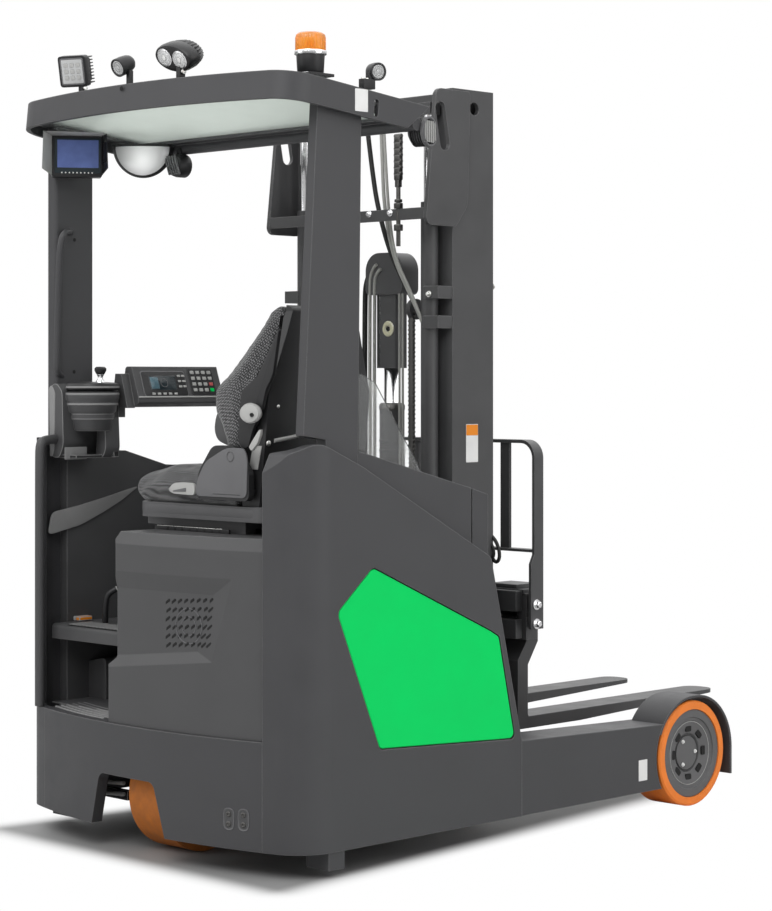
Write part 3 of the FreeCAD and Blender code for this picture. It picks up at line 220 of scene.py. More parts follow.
nodeLook = {
    "greenPaint": ["green_panels"],
    "cabPlastic": ["seat_hood", "entry_step", "cab_wall_left", "steering_console", "display_console"],
    "seatSteel": ["seat_shell"],
    "blackPlastic": ["steering_wheel", "monitor", "dome_mirror", "work_lamps", "beacon_base"],
    "batteryPaint": ["battery"],
    "roofGlass": ["guard_glass"],
    "screenPlastic": ["clear_screen"],
    "tray": ["seat_suspension"],
    "amber": ["beacon_lens"],
    "wornAndShadedTyre": ["drive_tyre"],
    "tyreOrange": ["load_tyre_right", "load_tyre_left"],
    "hubPaint": ["drive_hub", "load_hub_right", "load_hub_left"],
    "mastPaint": ["reach_carriage", "outer_mast", "mast_head", "lift_cylinders", "middle_mast", "inner_mast",
                  "free_lift_cylinder", "free_lift_head", "fork_carriage", "tilt_frame", "sideshift_frame",
                  "load_backrest", "fork_right", "fork_left", "reach_cylinder"],
    "chrome": ["lift_rods", "reach_rod"],
}
finishOf = {node: name for name, members in nodeLook.items() for node in members}
for label, shown in nodes.items():
    shown.data.materials.clear()
    shown.data.materials.append(look[finishOf.get(label, "bodyPaint")])
print("materials ready")


# camera, light and floor
def addObject(name, data, spot=(0, 0, 0), turn=(0, 0, 0)):
    thing = assign(bpy.data.objects.new(name, data), location=spot, rotation_euler=turn)
    scene.collection.objects.link(thing)
    return thing


view = dict(location=(-5.7043, -5.5330, 1.4197), heading=-45, lens=93.97, shift=-0.0829)
lensData = assign(bpy.data.cameras.new("viewCamera"), lens=view["lens"], sensor_width=36, shift_y=view["shift"])
scene.camera = addObject("viewCamera", lensData, view["location"], (math.pi / 2, 0, math.radians(view["heading"])))

lamps = {
    "key": ((-5.0, -2.2, 5.5), dict(size=4.0, energy=215)),
    "fill": ((1.0, -6.5, 3.0), dict(size=5.0, energy=150)),
    "rear": ((-6.5, 3.0, 3.0), dict(size=4.0, energy=70)),
}
for name, (spot, numbers) in lamps.items():
    aim = (Vector((0, 0, 1.0)) - Vector(spot)).to_track_quat("-Z", "Y")
    addObject(name, assign(bpy.data.lights.new(name, "AREA"), **numbers), spot, aim.to_euler())


def seenStraight(tree):
    rays = wire(tree, "LightPath").outputs
    return reckon(tree, "MAXIMUM", rays["Is Camera Ray"], rays["Is Transmission Ray"])


world = bpy.data.worlds.new("studio")
world.use_nodes = True
scene.world = world
sky = world.node_tree
sky.nodes.clear()
height = wire(sky, "SeparateXYZ", {0: wire(sky, "TexCoord").outputs["Generated"]}).outputs["Z"]
glossy = wire(sky, "LightPath").outputs["Is Glossy Ray"]
light = wire(sky, "Mix", {0: glossy, 2: spread(sky, height, -0.3, 1.0, 0.17, 0.5),
                          3: spread(sky, height, 0.05, 0.8, 0.5, 2.6)})
strength = wire(sky, "Mix", {0: seenStraight(sky), 2: light, 3: 1.0})
backdrop = wire(sky, "Background", {"Color": (1, 1, 1, 1), "Strength": strength})
wire(sky, "OutputWorld", {"Surface": backdrop})


# the floor keeps the rendered shadow under the truck, darkens its colour there as a painted shadow, and fades into
# the white backdrop beside it
def makeFloor(reach, centre, half, taper, fade, pale, bright, paintedShadow):
    material, tree, surface, place = newMaterial("paleFloor")
    centred = onVectors(tree, "SUBTRACT", place, centre)
    forward = reckon(tree, "ADD", wire(tree, "SeparateXYZ", {0: centred}), half[0])
    drawnIn = wire(tree, "CombineXYZ", {"Y": reckon(tree, "MULTIPLY", forward, taper)})
    narrowed = onVectors(tree, "ADD", onVectors(tree, "ABSOLUTE", centred), drawnIn)
    beyond = onVectors(tree, "MAXIMUM", onVectors(tree, "SUBTRACT", narrowed, half), (0, 0, 0))
    outward = onVectors(tree, "LENGTH", beyond).outputs["Value"]
    far = spread(tree, outward, 0, fade, interpolation_type="SMOOTHSTEP")
    tone = blended(tree, noise(tree, place, 3, 4), rgb(pale), rgb(bright))
    # painted shadow: the base colour goes from paintedShadow under the truck to the pale tone beyond the fade
    feed(surface, {"Roughness": 0.6, "Base Color": blended(tree, far, rgb(paintedShadow), tone)})
    white = wire(tree, "Emission", {"Color": (1, 1, 1, 1), "Strength": 1})
    farSeen = reckon(tree, "MULTIPLY", far, seenStraight(tree))
    joined = wire(tree, "MixShader", {0: farSeen, 1: surface, 2: white})
    feed(tree.nodes["Material Output"], {"Surface": joined})
    ground = bpy.data.meshes.new("floor")
    ground.from_pydata([(x * reach, y * reach, 0) for x, y in ((-1, -1), (1, -1), (1, 1), (-1, 1))], [],
                       [(0, 1, 2, 3)])
    ground.materials.append(material)
    floor = addObject("floor", ground)


makeFloor(reach=30, centre=(-0.2, 0, 0), half=(1.02, 0.62, 0), taper=0.12, fade=0.15, pale=(0.84, 0.84, 0.84),
          bright=(0.9, 0.9, 0.9), paintedShadow=(0.3, 0.3, 0.3))
scene.view_settings.view_transform = "Standard"
print("studio ready")


# shapes are drawn in millimetres from the rear end; datum turns them into the row frame
datum = Matrix.Translation((rearEnd, 0, 0)) @ Matrix.Scale(0.001, 4)
rearward, rightward, leftward = (-1, 0, 0), (0, -1, 0), (0, 1, 0)


def seatAt(spot, facing=(0, 0, 1), up=None):
    out = Vector(facing).normalized()
    top = Vector(up or (leftward if abs(out.z) > 0.9 else (0, 0, 1)))
    top = (top - out * top.dot(out)).normalized()
    return Matrix.Translation(spot) @ Matrix((top.cross(out), top, out)).transposed().to_4x4()


def turnTo(facing, up=None):
    return seatAt((0, 0, 0), facing, up)


sideView = turnTo(rearward)  # local x runs to the right, y upwards, z rearwards


def newVerts(mesh, points, place):
    return [mesh.verts.new(place @ Vector(point)) for point in points]


def walls(mesh, rows):
    for low, high in zip(rows, rows[1:]):
        for step in range(max(len(low), len(high))):
            around = [row[(step + further) % len(row)] for row, further in ((low, 0), (low, 1), (high, 1), (high, 0))]
            mesh.faces.new(list(dict.fromkeys(around)))


def loft(mesh, rings, place=Matrix()):
    rows = [newVerts(mesh, ring, place) for ring in rings]
    walls(mesh, rows)
    mesh.faces.new(rows[0][::-1])
    mesh.faces.new(rows[-1])


def plate(mesh, outline, low, high, place=Matrix()):
    loft(mesh, [[(x, y, level) for x, y in outline] for level in (low, high)], place)


def block(mesh, low, high):
    corners = [(low[0], low[1]), (high[0], low[1]), (high[0], high[1]), (low[0], high[1])]
    plate(mesh, corners, low[2], high[2])


def rounded(corners, radius, steps=4):
    outline = []
    for index, corner in enumerate(corners):
        here = Vector(corner)
        before, after = Vector(corners[index - 1]) - here, Vector(corners[(index + 1) % len(corners)]) - here
        cut = min(radius, before.length * 0.49, after.length * 0.49)
        first, last = here + before.normalized() * cut, here + after.normalized() * cut
        for step in range(steps + 1):
            share = step / steps
            outline.append(tuple(first * (1 - share) ** 2 + here * 2 * share * (1 - share) + last * share ** 2))
    return outline


def roundBox(width, height, radius, x=0, y=0, steps=4):
    across, tall = width / 2, height / 2
    corners = [(x - across, y - tall), (x + across, y - tall), (x + across, y + tall), (x - across, y + tall)]
    return rounded(corners, radius, steps)


def oval(across, tall, x=0, y=0, sides=40):
    return [(x + across * math.cos(2 * math.pi * step / sides), y + tall * math.sin(2 * math.pi * step / sides))
            for step in range(sides)]


def slab(mesh, width, height, radius, low, high, place=Matrix(), x=0, y=0):
    plate(mesh, roundBox(width, height, radius, x, y), low, high, place)


# a profile of (radius, height) pairs turned round the local z axis
def turned(mesh, profile, place=Matrix(), sides=40, squeeze=1):
    rows = []
    for radius, height in profile:
        ring = [(x, y * squeeze, height) for x, y in oval(radius, radius, sides=sides)]
        rows.append(newVerts(mesh, ring if radius else [(0, 0, height)], place))
    walls(mesh, rows)
    if len(rows[0]) > 1:
        mesh.faces.new(rows[0][::-1])
    if len(rows[-1]) > 1:
        mesh.faces.new(rows[-1])


def disc(mesh, radius, low, high, place=Matrix(), sides=40, edge=0):
    rim = [(radius, high - edge), (radius - edge, high)] if edge else [(radius, high)]
    turned(mesh, [(radius, low)] + rim, place, sides)


def ringBand(mesh, inner, outer, low, high, place=Matrix(), sides=48):
    rows = []
    for radius, level in ((inner, low), (outer, low), (outer, high), (inner, high)):
        rows.append(newVerts(mesh, [(x, y, level) for x, y in oval(radius, radius, sides=sides)], place))
    walls(mesh, rows + rows[:1])


def rod(mesh, start, end, radius, sides=16):
    along = Vector(end) - Vector(start)
    turned(mesh, [(radius, 0), (radius, along.length)], seatAt(start, along), sides)


def tube(mesh, points, radius, sides=12):
    path = [Vector(point) for point in points]
    side, rings = None, []
    for index, point in enumerate(path):
        along = (path[min(index + 1, len(path) - 1)] - path[max(index - 1, 0)]).normalized()
        guide = side or (Vector((0, 0, 1)) if abs(along.z) < 0.8 else Vector((0, 1, 0)))
        side = (guide - along * guide.dot(along)).normalized()
        other = along.cross(side)
        rings.append([point + side * x + other * y for x, y in oval(radius, radius, sides=sides)])
    loft(mesh, rings)


# a tube along a smooth line: the points are NURBS control points
def bentTube(mesh, points, radius, sides=12):
    curve = bpy.data.curves.new("guide", "CURVE")
    curve.dimensions = "3D"
    spline = curve.splines.new("NURBS")
    spline.points.add(len(points) - 1)
    for target, point in zip(spline.points, points):
        target.co = (*point, 1)
    assign(spline, order_u=3, use_endpoint_u=True, resolution_u=8)
    holder = bpy.data.objects.new("guide", curve)
    line = [vertex.co.copy() for vertex in bpy.data.meshes.new_from_object(holder).vertices]
    bpy.data.objects.remove(holder)
    tube(mesh, line, radius, sides)


def evaluated(piece):
    return piece.evaluated_get(bpy.context.evaluated_depsgraph_get())


def settled(piece):
    return bpy.data.meshes.new_from_object(evaluated(piece))


def within(place, x, y):
    return place.to_3x3() @ Vector((x, y, 0))


def dressPiece(name, data, body, slot=None, replaced=(), crease=38):
    data.transform(datum)
    data.polygons.foreach_set("use_smooth", [True] * len(data.polygons))
    data.set_sharp_from_angle(angle=math.radians(crease))
    piece = addObject(name, data)
    if body:
        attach(piece, body)
    if replaced:
        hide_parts(*replaced)
    return piece


def drawn(shapes, bevel=0):
    mesh = bmesh.new()
    finishes = []
    for finish, build, *numbers in shapes:
        before = len(mesh.faces)
        build(mesh, *numbers)
        if finish not in finishes:
            finishes.append(finish)
        mesh.faces.ensure_lookup_table()
        for face in mesh.faces[before:]:
            face.material_index = finishes.index(finish)
    bmesh.ops.recalc_face_normals(mesh, faces=mesh.faces)
    if bevel:
        sharp = [edge for edge in mesh.edges if edge.is_manifold and edge.calc_face_angle() > math.radians(40)]
        bmesh.ops.bevel(mesh, geom=sharp, offset=bevel, segments=2, profile=0.6, affect="EDGES", clamp_overlap=True)
    data = bpy.data.meshes.new("drawn")
    mesh.to_mesh(data)
    mesh.free()
    for finish in finishes:
        data.materials.append(look[finish])
    return data


# one piece from a list of (finish, shape, numbers)
def makePiece(name, body, shapes, bevel=0, **facts):
    return dressPiece(name, drawn(shapes, bevel), body, **facts)


# geometry nodes: repeated screws, slats, links, ribs and keys
def newTree(name, sockets):
    tree = bpy.data.node_groups.new(name, "GeometryNodeTree")
    tree.interface.new_socket("Geometry", in_out="INPUT", socket_type="NodeSocketGeometry")
    for label, kind in {"Item": "Object", "Material": "Material", **sockets}.items():
        tree.interface.new_socket(label, in_out="INPUT", socket_type="NodeSocket" + kind)
    tree.interface.new_socket("Geometry", in_out="OUTPUT", socket_type="NodeSocketGeometry")
    given = wire(tree, "NodeGroupInput").outputs
    item = wire(tree, "GeometryNodeObjectInfo", {"Object": given["Item"]}).outputs["Geometry"]
    return tree, given, item


def onPoints(tree, points, item, **inputs):
    return wire(tree, "GeometryNodeInstanceOnPoints", {"Points": points, "Instance": item, **inputs})


def endTree(tree, given, instances):
    solid = wire(tree, "GeometryNodeRealizeInstances", {"Geometry": instances})
    painted = wire(tree, "GeometryNodeSetMaterial", {"Geometry": solid, "Material": given["Material"]})
    wire(tree, "NodeGroupOutput", {"Geometry": painted})
    return tree


def makeGridTree():
    tree, given, item = newTree("gridRepeat", {
        "Start": "Vector", "Columns": "Int", "Column Step": "Vector", "Rows": "Int", "Row Step": "Vector"})
    across = wire(tree, "GeometryNodeMeshLine", {
        "Count": given["Columns"], "Start Location": given["Start"], "Offset": given["Column Step"]}, mode="OFFSET")
    down = wire(tree, "GeometryNodeMeshLine", {"Count": given["Rows"], "Offset": given["Row Step"]}, mode="OFFSET")
    points = wire(tree, "GeometryNodeRealizeInstances", {"Geometry": onPoints(tree, across, down)})
    return endTree(tree, given, onPoints(tree, points, item))


def makeRingTree():
    tree, given, item = newTree("ringRepeat", {
        "Count": "Int", "Radius": "Float", "Centre": "Vector", "Turn": "Rotation"})
    circle = wire(tree, "GeometryNodeMeshCircle", {"Vertices": given["Count"], "Radius": given["Radius"]})
    share = reckon(tree, "DIVIDE", wire(tree, "GeometryNodeInputIndex"), given["Count"])
    turn = wire(tree, "CombineXYZ", {"Z": reckon(tree, "MULTIPLY", share, 2 * math.pi)})
    placed = onPoints(tree, circle, item, Rotation=turn)
    seated = wire(tree, "GeometryNodeTransform", {
        "Geometry": placed, "Translation": given["Centre"], "Rotation": given["Turn"]})
    return endTree(tree, given, seated)


def makePointTree():
    tree, given, item = newTree("pointRepeat", {})
    return endTree(tree, given, onPoints(tree, given["Geometry"], item))


trees = {"grid": makeGridTree(), "ring": makeRingTree(), "points": makePointTree()}


def growPiece(name, body, kind, finish, shapes, points=(), bevel=0, **inputs):
    item = addObject("item", drawn([(finish, *shape) for shape in shapes], bevel))
    base = bpy.data.meshes.new("base")
    base.from_pydata([tuple(point) for point in points], [], [])
    holder = addObject("holder", base)
    grower = holder.modifiers.new("grow", "NODES")
    grower.node_group = trees[kind]
    values = {"Item": item, "Material": look[finish], "Columns": 1, "Rows": 1}
    values.update((key.replace("_", " "), value) for key, value in inputs.items())
    for socket in trees[kind].interface.items_tree:
        if socket.in_out == "INPUT" and socket.name in values:
            grower[socket.identifier] = values[socket.name]
    data = settled(holder)
    bpy.data.objects.remove(item)
    bpy.data.objects.remove(holder)
    return dressPiece(name, data, body)


# washer and hexagon head, or a socket screw, standing on its local ground
def boltShapes(facing, radius, tall, socket=False):
    place = turnTo(facing)
    if socket:
        profile = ((1, 0), (1, 0.8), (0.85, 1), (0.5, 1), (0.45, 0.4), (0, 0.4))
        return [(turned, [(radius * out, tall * up) for out, up in profile], place, 24)]
    return [(disc, radius, 0, tall * 0.3, place, 24), (disc, radius * 0.68, tall * 0.3, tall, place, 6, tall * 0.12)]


def boltsAt(name, body, facing, radius, tall, points, finish="zinc", socket=False):
    return growPiece(name, body, "points", finish, boltShapes(facing, radius, tall, socket), points)


print("tools ready")


# roof: lamps, beacon, mirror, monitor
def fluted(mesh, levels, count, depth, place=Matrix(), sides=144):
    rings = []
    for across, tall, level in levels:
        ring = []
        for step in range(sides):
            angle = 2 * math.pi * step / sides
            ripple = 1 - depth * (0.5 - 0.5 * math.cos(angle * count))
            ring.append((across * ripple * math.cos(angle), tall * ripple * math.sin(angle), level))
        rings.append(ring)
    loft(mesh, rings, place)


seat = {
    "square": seatAt((2, 284, 2362), (-0.87, -0.4, -0.24)) @ Matrix.Scale(1.08, 4),
    "round": seatAt((-10, 50, 2350), (-0.88, 0, -0.4)) @ Matrix.Scale(1.22, 4),
    "twin": seatAt((2, -190, 2356), (-0.88, 0, -0.4), (0, -0.2, 1)) @ Matrix.Scale(1.16, 4),
    "side": seatAt((402, -642, 2314), (-0.2, -0.98, -0.1)) @ Matrix.Scale(1.2, 4),
    "front": seatAt((624, -637, 2157), (0.28, -0.96, 0)),
    "inner": seatAt((518, 426, 2118), rearward),
}
barrel = [(0, -50), (12, -50), (18, -44), (21, -36), (23, -20), (23, 0), (19.5, 0), (19, -3), (0, -3)]
barrelLens = [(18.5, -4), (18.5, -2), (15, -0.8), (12, -2.4), (9, -0.8), (6, -2.4), (3, -0.8), (0, -1.2)]
frontBarrel = [(0, -66), (22, -66), (34, -58), (40, -40), (40, -14), (45, -12), (45, 0), (39, 0), (38, -6)]
sideBarrel = [(0, -37), (14, -37), (20, -28), (22, -14), (22, 0), (18, 0), (17.5, -3), (0, -3)]
workLamps = [
    ("blackPlastic", slab, 86, 88, 10, -24, -1, seat["square"]),
    ("greyPlastic", slab, 74, 76, 7, -3, 0, seat["square"]),
    ("lensGlass", slab, 66, 68, 5, -2, 0.4, seat["square"]),
    ("blackPlastic", slab, 64, 66, 6, -54, -22, seat["square"]),
    ("zinc", disc, 7, 0, 5, seatAt((33, 262, 2312), rightward), 16),
    ("blackPlastic", turned, barrel, seat["round"], 32),
    ("lensGlass", turned, barrelLens, seat["round"], 32),
    ("blackPlastic", fluted, [(60, 33, 0), (64, 35.5, -5), (66, 37, -14), (65, 36, -34)], 1, 0, seat["twin"], 56),
    ("blackPlastic", fluted, [(64, 35.5, -34), (61, 34, -46), (50, 29, -64), (32, 20, -76), (12, 8, -79.5)], 26, 0.09,
     seat["twin"]),
    ("blackPlastic", plate, oval(57, 30), -1, 0.4, seat["twin"]),
    ("zinc", disc, 8, 0, 6, seatAt((20, -217, 2318), rightward), 16),
    ("blackPlastic", turned, sideBarrel, seat["side"], 32),
    ("lensGlass", turned, barrelLens, seat["side"] @ Matrix.Scale(0.92, 4), 32),
    ("greyPlastic", turned, frontBarrel, seat["front"], 48),
    # near-black disc inside the front lamp: painted shade in its hollow
    ("darkHollow", disc, 38, -7, -5, seat["front"]),
    ("blackPlastic", tube, [(590, -560, 2190), (604, -566, 2176), (614, -590, 2170), (612, -596, 2150)], 8, 10),
]
brackets = [((24, 262, 2284), (42, 282, 2340)), ((16, 24, 2284), (30, 40, 2344)), ((-10, 12, 2288), (34, 50, 2298)),
            ((10, -216, 2286), (30, -198, 2350)), ((4, -236, 2286), (40, -174, 2297)),
            ((346, -638, 2262), (392, -616, 2290)), ((374, -632, 2286), (392, -616, 2312)),
            ((578, -580, 2160), (606, -548, 2196))]
workLamps += [("blackPlastic", block, *ends) for ends in brackets]
workLamps += [("paleGrey", slab, 13, 12, 3, 0.2, 0.9, seat["square"], x, y)
              for y in (18, 0, -18) for x in (-19, 0, 19)]
for side in (-1, 1):
    workLamps += [
        ("chrome", plate, oval(25, 24, 27 * side), 0.2, 1.0, seat["twin"]),
        ("lensGlass", plate, oval(21, 20, 27 * side), 0.8, 2.2, seat["twin"]),
        ("whitePaint", plate, oval(6, 8, 27 * side), 2.0, 2.8, seat["twin"]),
        ("zinc", disc, 5, 0, 4, seatAt((360 + 9 * side, -627, 2290)), 12)]
makePiece("workLampSet", "chassis", workLamps, bevel=0.9, replaced=["work_lamps"], slot="cab_plastic")
growPiece("squareLampFins", "chassis", "grid", "blackPlastic", [(slab, 80, 3.2, 1, -55, -22, seat["square"], 0, 0)],
          Start=within(seat["square"], 0, -36), Rows=9,
          Row_Step=within(seat["square"], 0, 9), bevel=0.6)
growPiece("frontLampSlats", "chassis", "grid", "paleGrey", [(slab, 5.5, 64, 1, -4.5, 0, seat["front"])],
          Start=within(seat["front"], -30, 0), Columns=6,
          Column_Step=within(seat["front"], 12, 0))
growPiece("frontLampRings", "chassis", "grid", "blackPlastic",
          [(ringBand, 30, 44, 0, 3.2, turnTo((0.28, -0.96, 0)))],
          Start=seat["front"] @ Vector((0, 0, -50)), Columns=5, Column_Step=(0.28 * 8, -0.96 * 8, 0))
makePiece("innerLamp", "chassis", [
    ("blackPlastic", turned, [(0, 2), (20, 2), (34, -6), (38, -22), (38, -52), (0, -52)], seat["inner"], 40),
    ("blackPlastic", block, (543, 418, 2150), (563, 434, 2176))], bevel=1)
growPiece("innerLampFins", "chassis", "grid", "greyPlastic",
          [(slab, 6, 66, 1, -2, 5, turnTo(rearward, (0, 0.4, 1)))],
          Start=(518, 402, 2118), Columns=5, Column_Step=(0, 12, 0), bevel=0.6)

beacon = seatAt((172, -598, 0))
lensLevels = [(42, 42, 2355), (44, 44, 2358), (44, 44, 2392), (42, 42, 2401), (34, 34, 2407), (16, 16, 2408.6)]
makePiece("beaconGlow", "chassis", [("amber", fluted, lensLevels, 30, 0.03, beacon)], replaced=["beacon_lens"],
          slot="amber", crease=60)
makePiece("beaconRing", "chassis", [
    ("chrome", ringBand, 36, 46.5, 2345, 2355.4, beacon),
    ("blackPlastic", turned, [(35, 2290), (38, 2294), (41, 2345)], beacon),
    ("orangePlastic", turned, [(9, 2355.5), (10, 2372), (7, 2384), (0, 2388)], beacon, 20),
    ("rubber", slab, 84, 62, 6, 2289, 2291, beacon)], bevel=0.8)


def halfDome(mesh, across, tall, depth, place, share=1, proud=0, rings=12, sides=36):
    peak = mesh.verts.new(place @ Vector((0, 0, depth + proud)))
    rows = []
    for ring in range(1, rings + 1):
        out = share * ring / rings
        level = depth * math.sqrt(max(0, 1 - out * out)) + proud
        angles = [math.pi * (1 + step / sides) for step in range(sides + 1)]
        arc = [(across * out * math.cos(angle), tall * out * math.sin(angle), level) for angle in angles]
        rows.append(newVerts(mesh, arc, place))
    for step in range(sides):
        mesh.faces.new((peak, rows[0][step], rows[0][step + 1]))
        for low, high in zip(rows, rows[1:]):
            mesh.faces.new((low[step], high[step], high[step + 1], low[step + 1]))
    mesh.faces.new([row[0] for row in rows[::-1]] + [peak] + [row[-1] for row in rows])
    mesh.faces.new(rows[-1][::-1])


mirrorSeat = seatAt((480, 529, 2187), (-0.7071, -0.7071, 0))
makePiece("mirrorBowl", "chassis", [
    ("blackPlastic", halfDome, 101, 107, 46, mirrorSeat),
    ("blackPlastic", slab, 204, 10, 2, -2, 16, mirrorSeat, 0, -1),
    ("mirrorSilver", halfDome, 101, 107, 46, mirrorSeat @ Matrix.Translation((0, -7, 0)), 0.87, 0.9),
    ("blackPlastic", tube, [(488, 540, 2150), (500, 556, 2170), (512, 572, 2190)], 8, 10)], replaced=["dome_mirror"],
    slot="cab_plastic")

screen = seatAt((188, 502.5, 2130), (-0.574, -0.819, 0))
monitorShapes = [
    ("blackPlastic", slab, 158, 130, 6, -52, 0, screen),
    ("displayDark", slab, 146, 112, 5, -0.5, 0.5, screen, 2, 2),
    ("screenBlue", slab, 130, 88, 2, 0.4, 0.9, screen, 3, 8)]
for finish, *flap in (
        ("paleGrey", (-79, -62, 0), (-79, 65, 0), (-108, 74, 54), (-112, -44, 54)),
        ("paleGrey", (-78, 65, 0), (78, 65, 0), (84, 72, 40), (-104, 74, 50)),
        ("blackPlastic", (79, 65, 0), (79, -60, 0), (96, -40, 44), (92, 70, 44))):
    monitorShapes.append((finish, loft, [flap, [(x, y, z + 3) for x, y, z in flap]], screen))
makePiece("monitorFace", "chassis", monitorShapes, replaced=["monitor"], slot="cab_plastic")
growPiece("monitorKeys", "chassis", "grid", "whitePaint", [(disc, 2.4, 0, 0.9, screen.to_3x3().to_4x4(), 14)],
          Start=screen @ Vector((-48, -52, 0.4)), Columns=9, Column_Step=within(screen, 12, 0))

# the near-black disc is painted shade in a hole
makePiece("roofTrim", "chassis", [
    ("darkHollow", disc, 7, -1, 0.2, seatAt((-29.6, 7, 2284), rearward), 24),
    ("whitePaint", slab, 52, 65, 3, 0, 0.4, seatAt((324, -650, 2224), rightward))])
railLine = [(228, 588, 1893), (205, 560, 1893), (170, 538, 1893), (150, 540, 1862), (152, 552, 1714),
            (156, 566, 1481), (162, 572, 1440), (196, 590, 1430)]
# near-black discs at the rail's ends: painted shade in its sockets
makePiece("grabRail", "chassis", [
    ("bodyPaint", bentTube, railLine, 10, 16),
    *(("darkHollow", disc, 6, -1, 0.4, seatAt((x, 580, z), rightward), 20) for x, z in ((238, 1870), (236, 1446)))])


# rubber seal along the edge of the roof glass, seen from below
glass = nodes["guard_glass"]
glassPlace = datum.inverted() @ glass.matrix_world
under = [face for face in glass.data.polygons if (glass.matrix_world.to_3x3() @ face.normal).z < -0.7]
edgeSpots = {index: glassPlace @ glass.data.vertices[index].co for face in under for index in face.vertices}
middle = sum(edgeSpots.values(), Vector()) / len(edgeSpots)
sealLine = sorted(edgeSpots.values(), key=lambda spot: math.atan2(spot.y - middle.y, spot.x - middle.x))
sealLine = [spot + (middle - spot).normalized() * 9 for spot in sealLine]
makePiece("glassSeal", "chassis", [("rubber", tube, sealLine + sealLine[:2], 6, 8)])
print("roof ready")


# the point where a CAD surface is met going forward from start, and the way it faces there
def onSurface(label, start):
    shown = nodes[label]
    inward = shown.matrix_world.inverted() @ datum
    aim = (inward.to_3x3() @ Vector((1, 0, 0))).normalized()
    found, spot, normal, face = shown.ray_cast(inward @ Vector(start), aim)
    return inward.inverted() @ spot, (shown.matrix_world.to_3x3() @ normal).normalized()


# mast: anchor chain, hoses, free-lift fittings, clamps
bpy.context.view_layer.update()
linkPlates = [(slab, 17, 24, 8, -12, 12, turnTo(leftward)), (rod, (0, -15, 10), (0, 15, 10), 7, 12)]
growPiece("anchorChain", "reach_carriage", "grid", "chainSteel", linkPlates, Start=(889, -240, 2062), Rows=7,
          Row_Step=(0, 0, 20), bevel=1.5)
chainSeat = seatAt((889, -240, 0))
makePiece("chainAnchor", "reach_carriage", [
    ("chainSteel", rod, (889, -240, 1843), (889, -240, 2058), 7, 16),
    ("chainSteel", block, (882, -249, 2030), (896, -231, 2064)),
    *(("chainSteel", disc, *nut, chainSeat, 6, 2) for nut in ((15, 1962, 1980), (13, 1982, 1992), (15, 1892, 1912)))],
    bevel=0.6)
boltsAt("tieBolts", "reach_carriage", rearward, 11, 11, [(884, -115, 1950), (884, -210, 1949)], "chrome")


def hoses(*rows):  # finish, radius, then the points that pull the line
    return [(finish, bentTube, line, radius) for finish, radius, *line in rows]


makePiece("mastHoses", "reach_carriage", hoses(
    ("rubber", 8, (960, -30, 2225), (962, -48, 2100), (960, -77, 1973), (958, -141, 1812), (964, -222, 1690),
     (976, -268, 1600), (990, -300, 1520)),
    ("paleHose", 6, (952, -100, 2226), (950, -108, 2100), (948, -118, 1973), (948, -158, 1812),
     (954, -230, 1690), (966, -272, 1604), (986, -304, 1520)),
    ("paleHose", 5, (940, -124, 2226), (940, -134, 2100), (938, -146, 1973), (940, -172, 1812),
     (946, -240, 1700), (958, -278, 1608), (982, -308, 1520))))
headHoses = makePiece("freeLiftHoses", None, hoses(
    ("paleHose", 6, (1066, 68, 420), (1066, 68, 1000), (1066, 68, 1700), (1064, 62, 1780), (1060, 30, 1800)),
    ("paleHose", 6, (1066, 48, 420), (1066, 48, 1000), (1066, 46, 1700), (1062, 40, 1768), (1059, 10, 1784))) + [
    ("paleHose", rod, (1066, y, 440), (1066, y, 1702), 4) for y in (-70, -85)] + hoses(
    ("rubber", 9, (1072, 98, 420), (1072, 98, 1000), (1072, 98, 1690), (1074, 92, 1748), (1074, 80, 1764))))
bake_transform(headHoses)
freeLift = seatAt((1101, 0, 0))
makePiece("freeLiftRings", "inner_stage", [
    *(("mastPaint", ringBand, 41, 43.6, low, low + 8, freeLift) for low in (1216, 1184)),
    ("chainSteel", turned, [(30, 1320), (43.5, 1322), (43.5, 1336), (38, 1344), (26, 1345)], freeLift)])
capSeat = seatAt((1071.5, -12, 1588), rearward)
makePiece("freeLiftFittings", "free_lift_head", [
    ("chrome", ringBand, 25, 25.5, 430, 1460, freeLift),
    ("creamPlastic", turned, [(0, -4), (26, -4), (26, 0), (24, 2), (11, 2), (10, -1), (0, -1)], capSeat),
    # near-black disc in the cap's recess: painted shade
    ("darkHollow", disc, 8, -1.5, 2.2, capSeat, 24),
    ("greyPlastic", slab, 74, 10, 2, 0, 1.5, seatAt((1073, 0, 1706), rearward)),
    ("blackPlastic", slab, 6, 240, 2, 0, 1.5, seatAt((1073, 30, 1588), rearward))], bevel=0.5)
growPiece("freeLiftChain", "inner_stage", "grid", "chainSteel",
          [(slab, 11, 20, 4, -10, 10, turnTo(leftward)), (rod, (0, -14, 6), (0, 14, 6), 4, 10)],
          Start=(1068, -124, 1130), Rows=36, Row_Step=(0, 0, 14.4), bevel=0.8)
pulleySeat = seatAt((1082, -124, 1650), leftward)
makePiece("freeLiftPulley", "inner_stage", [
    ("mastPaint", disc, 34, -10, 10, pulleySeat, 32, 3),
    ("zinc", disc, 9, -13, 13, pulleySeat, 6)])
boltsAt("clampBolts", "reach_carriage", rearward, 10, 12,
        [(onSurface("lift_cylinders", (600, -318, z))[0].x + 0.5, -318, z) for z in (1723, 1691)])
labelSeat = seatAt((1104, -358, 1218), rightward)
makePiece("blankPlates", "reach_carriage", [
    ("whitePaint", slab, 56, 122, 3, 0, 0.5, labelSeat),
    ("orangePlastic", slab, 54, 34, 2, 0.3, 0.8, labelSeat, 0, 42)])
makePiece("legPlate", "chassis", [
    ("whitePaint", slab, 44, 68, 2, -0.4, 0.3, seatAt((1607, -650, 149), rightward))])
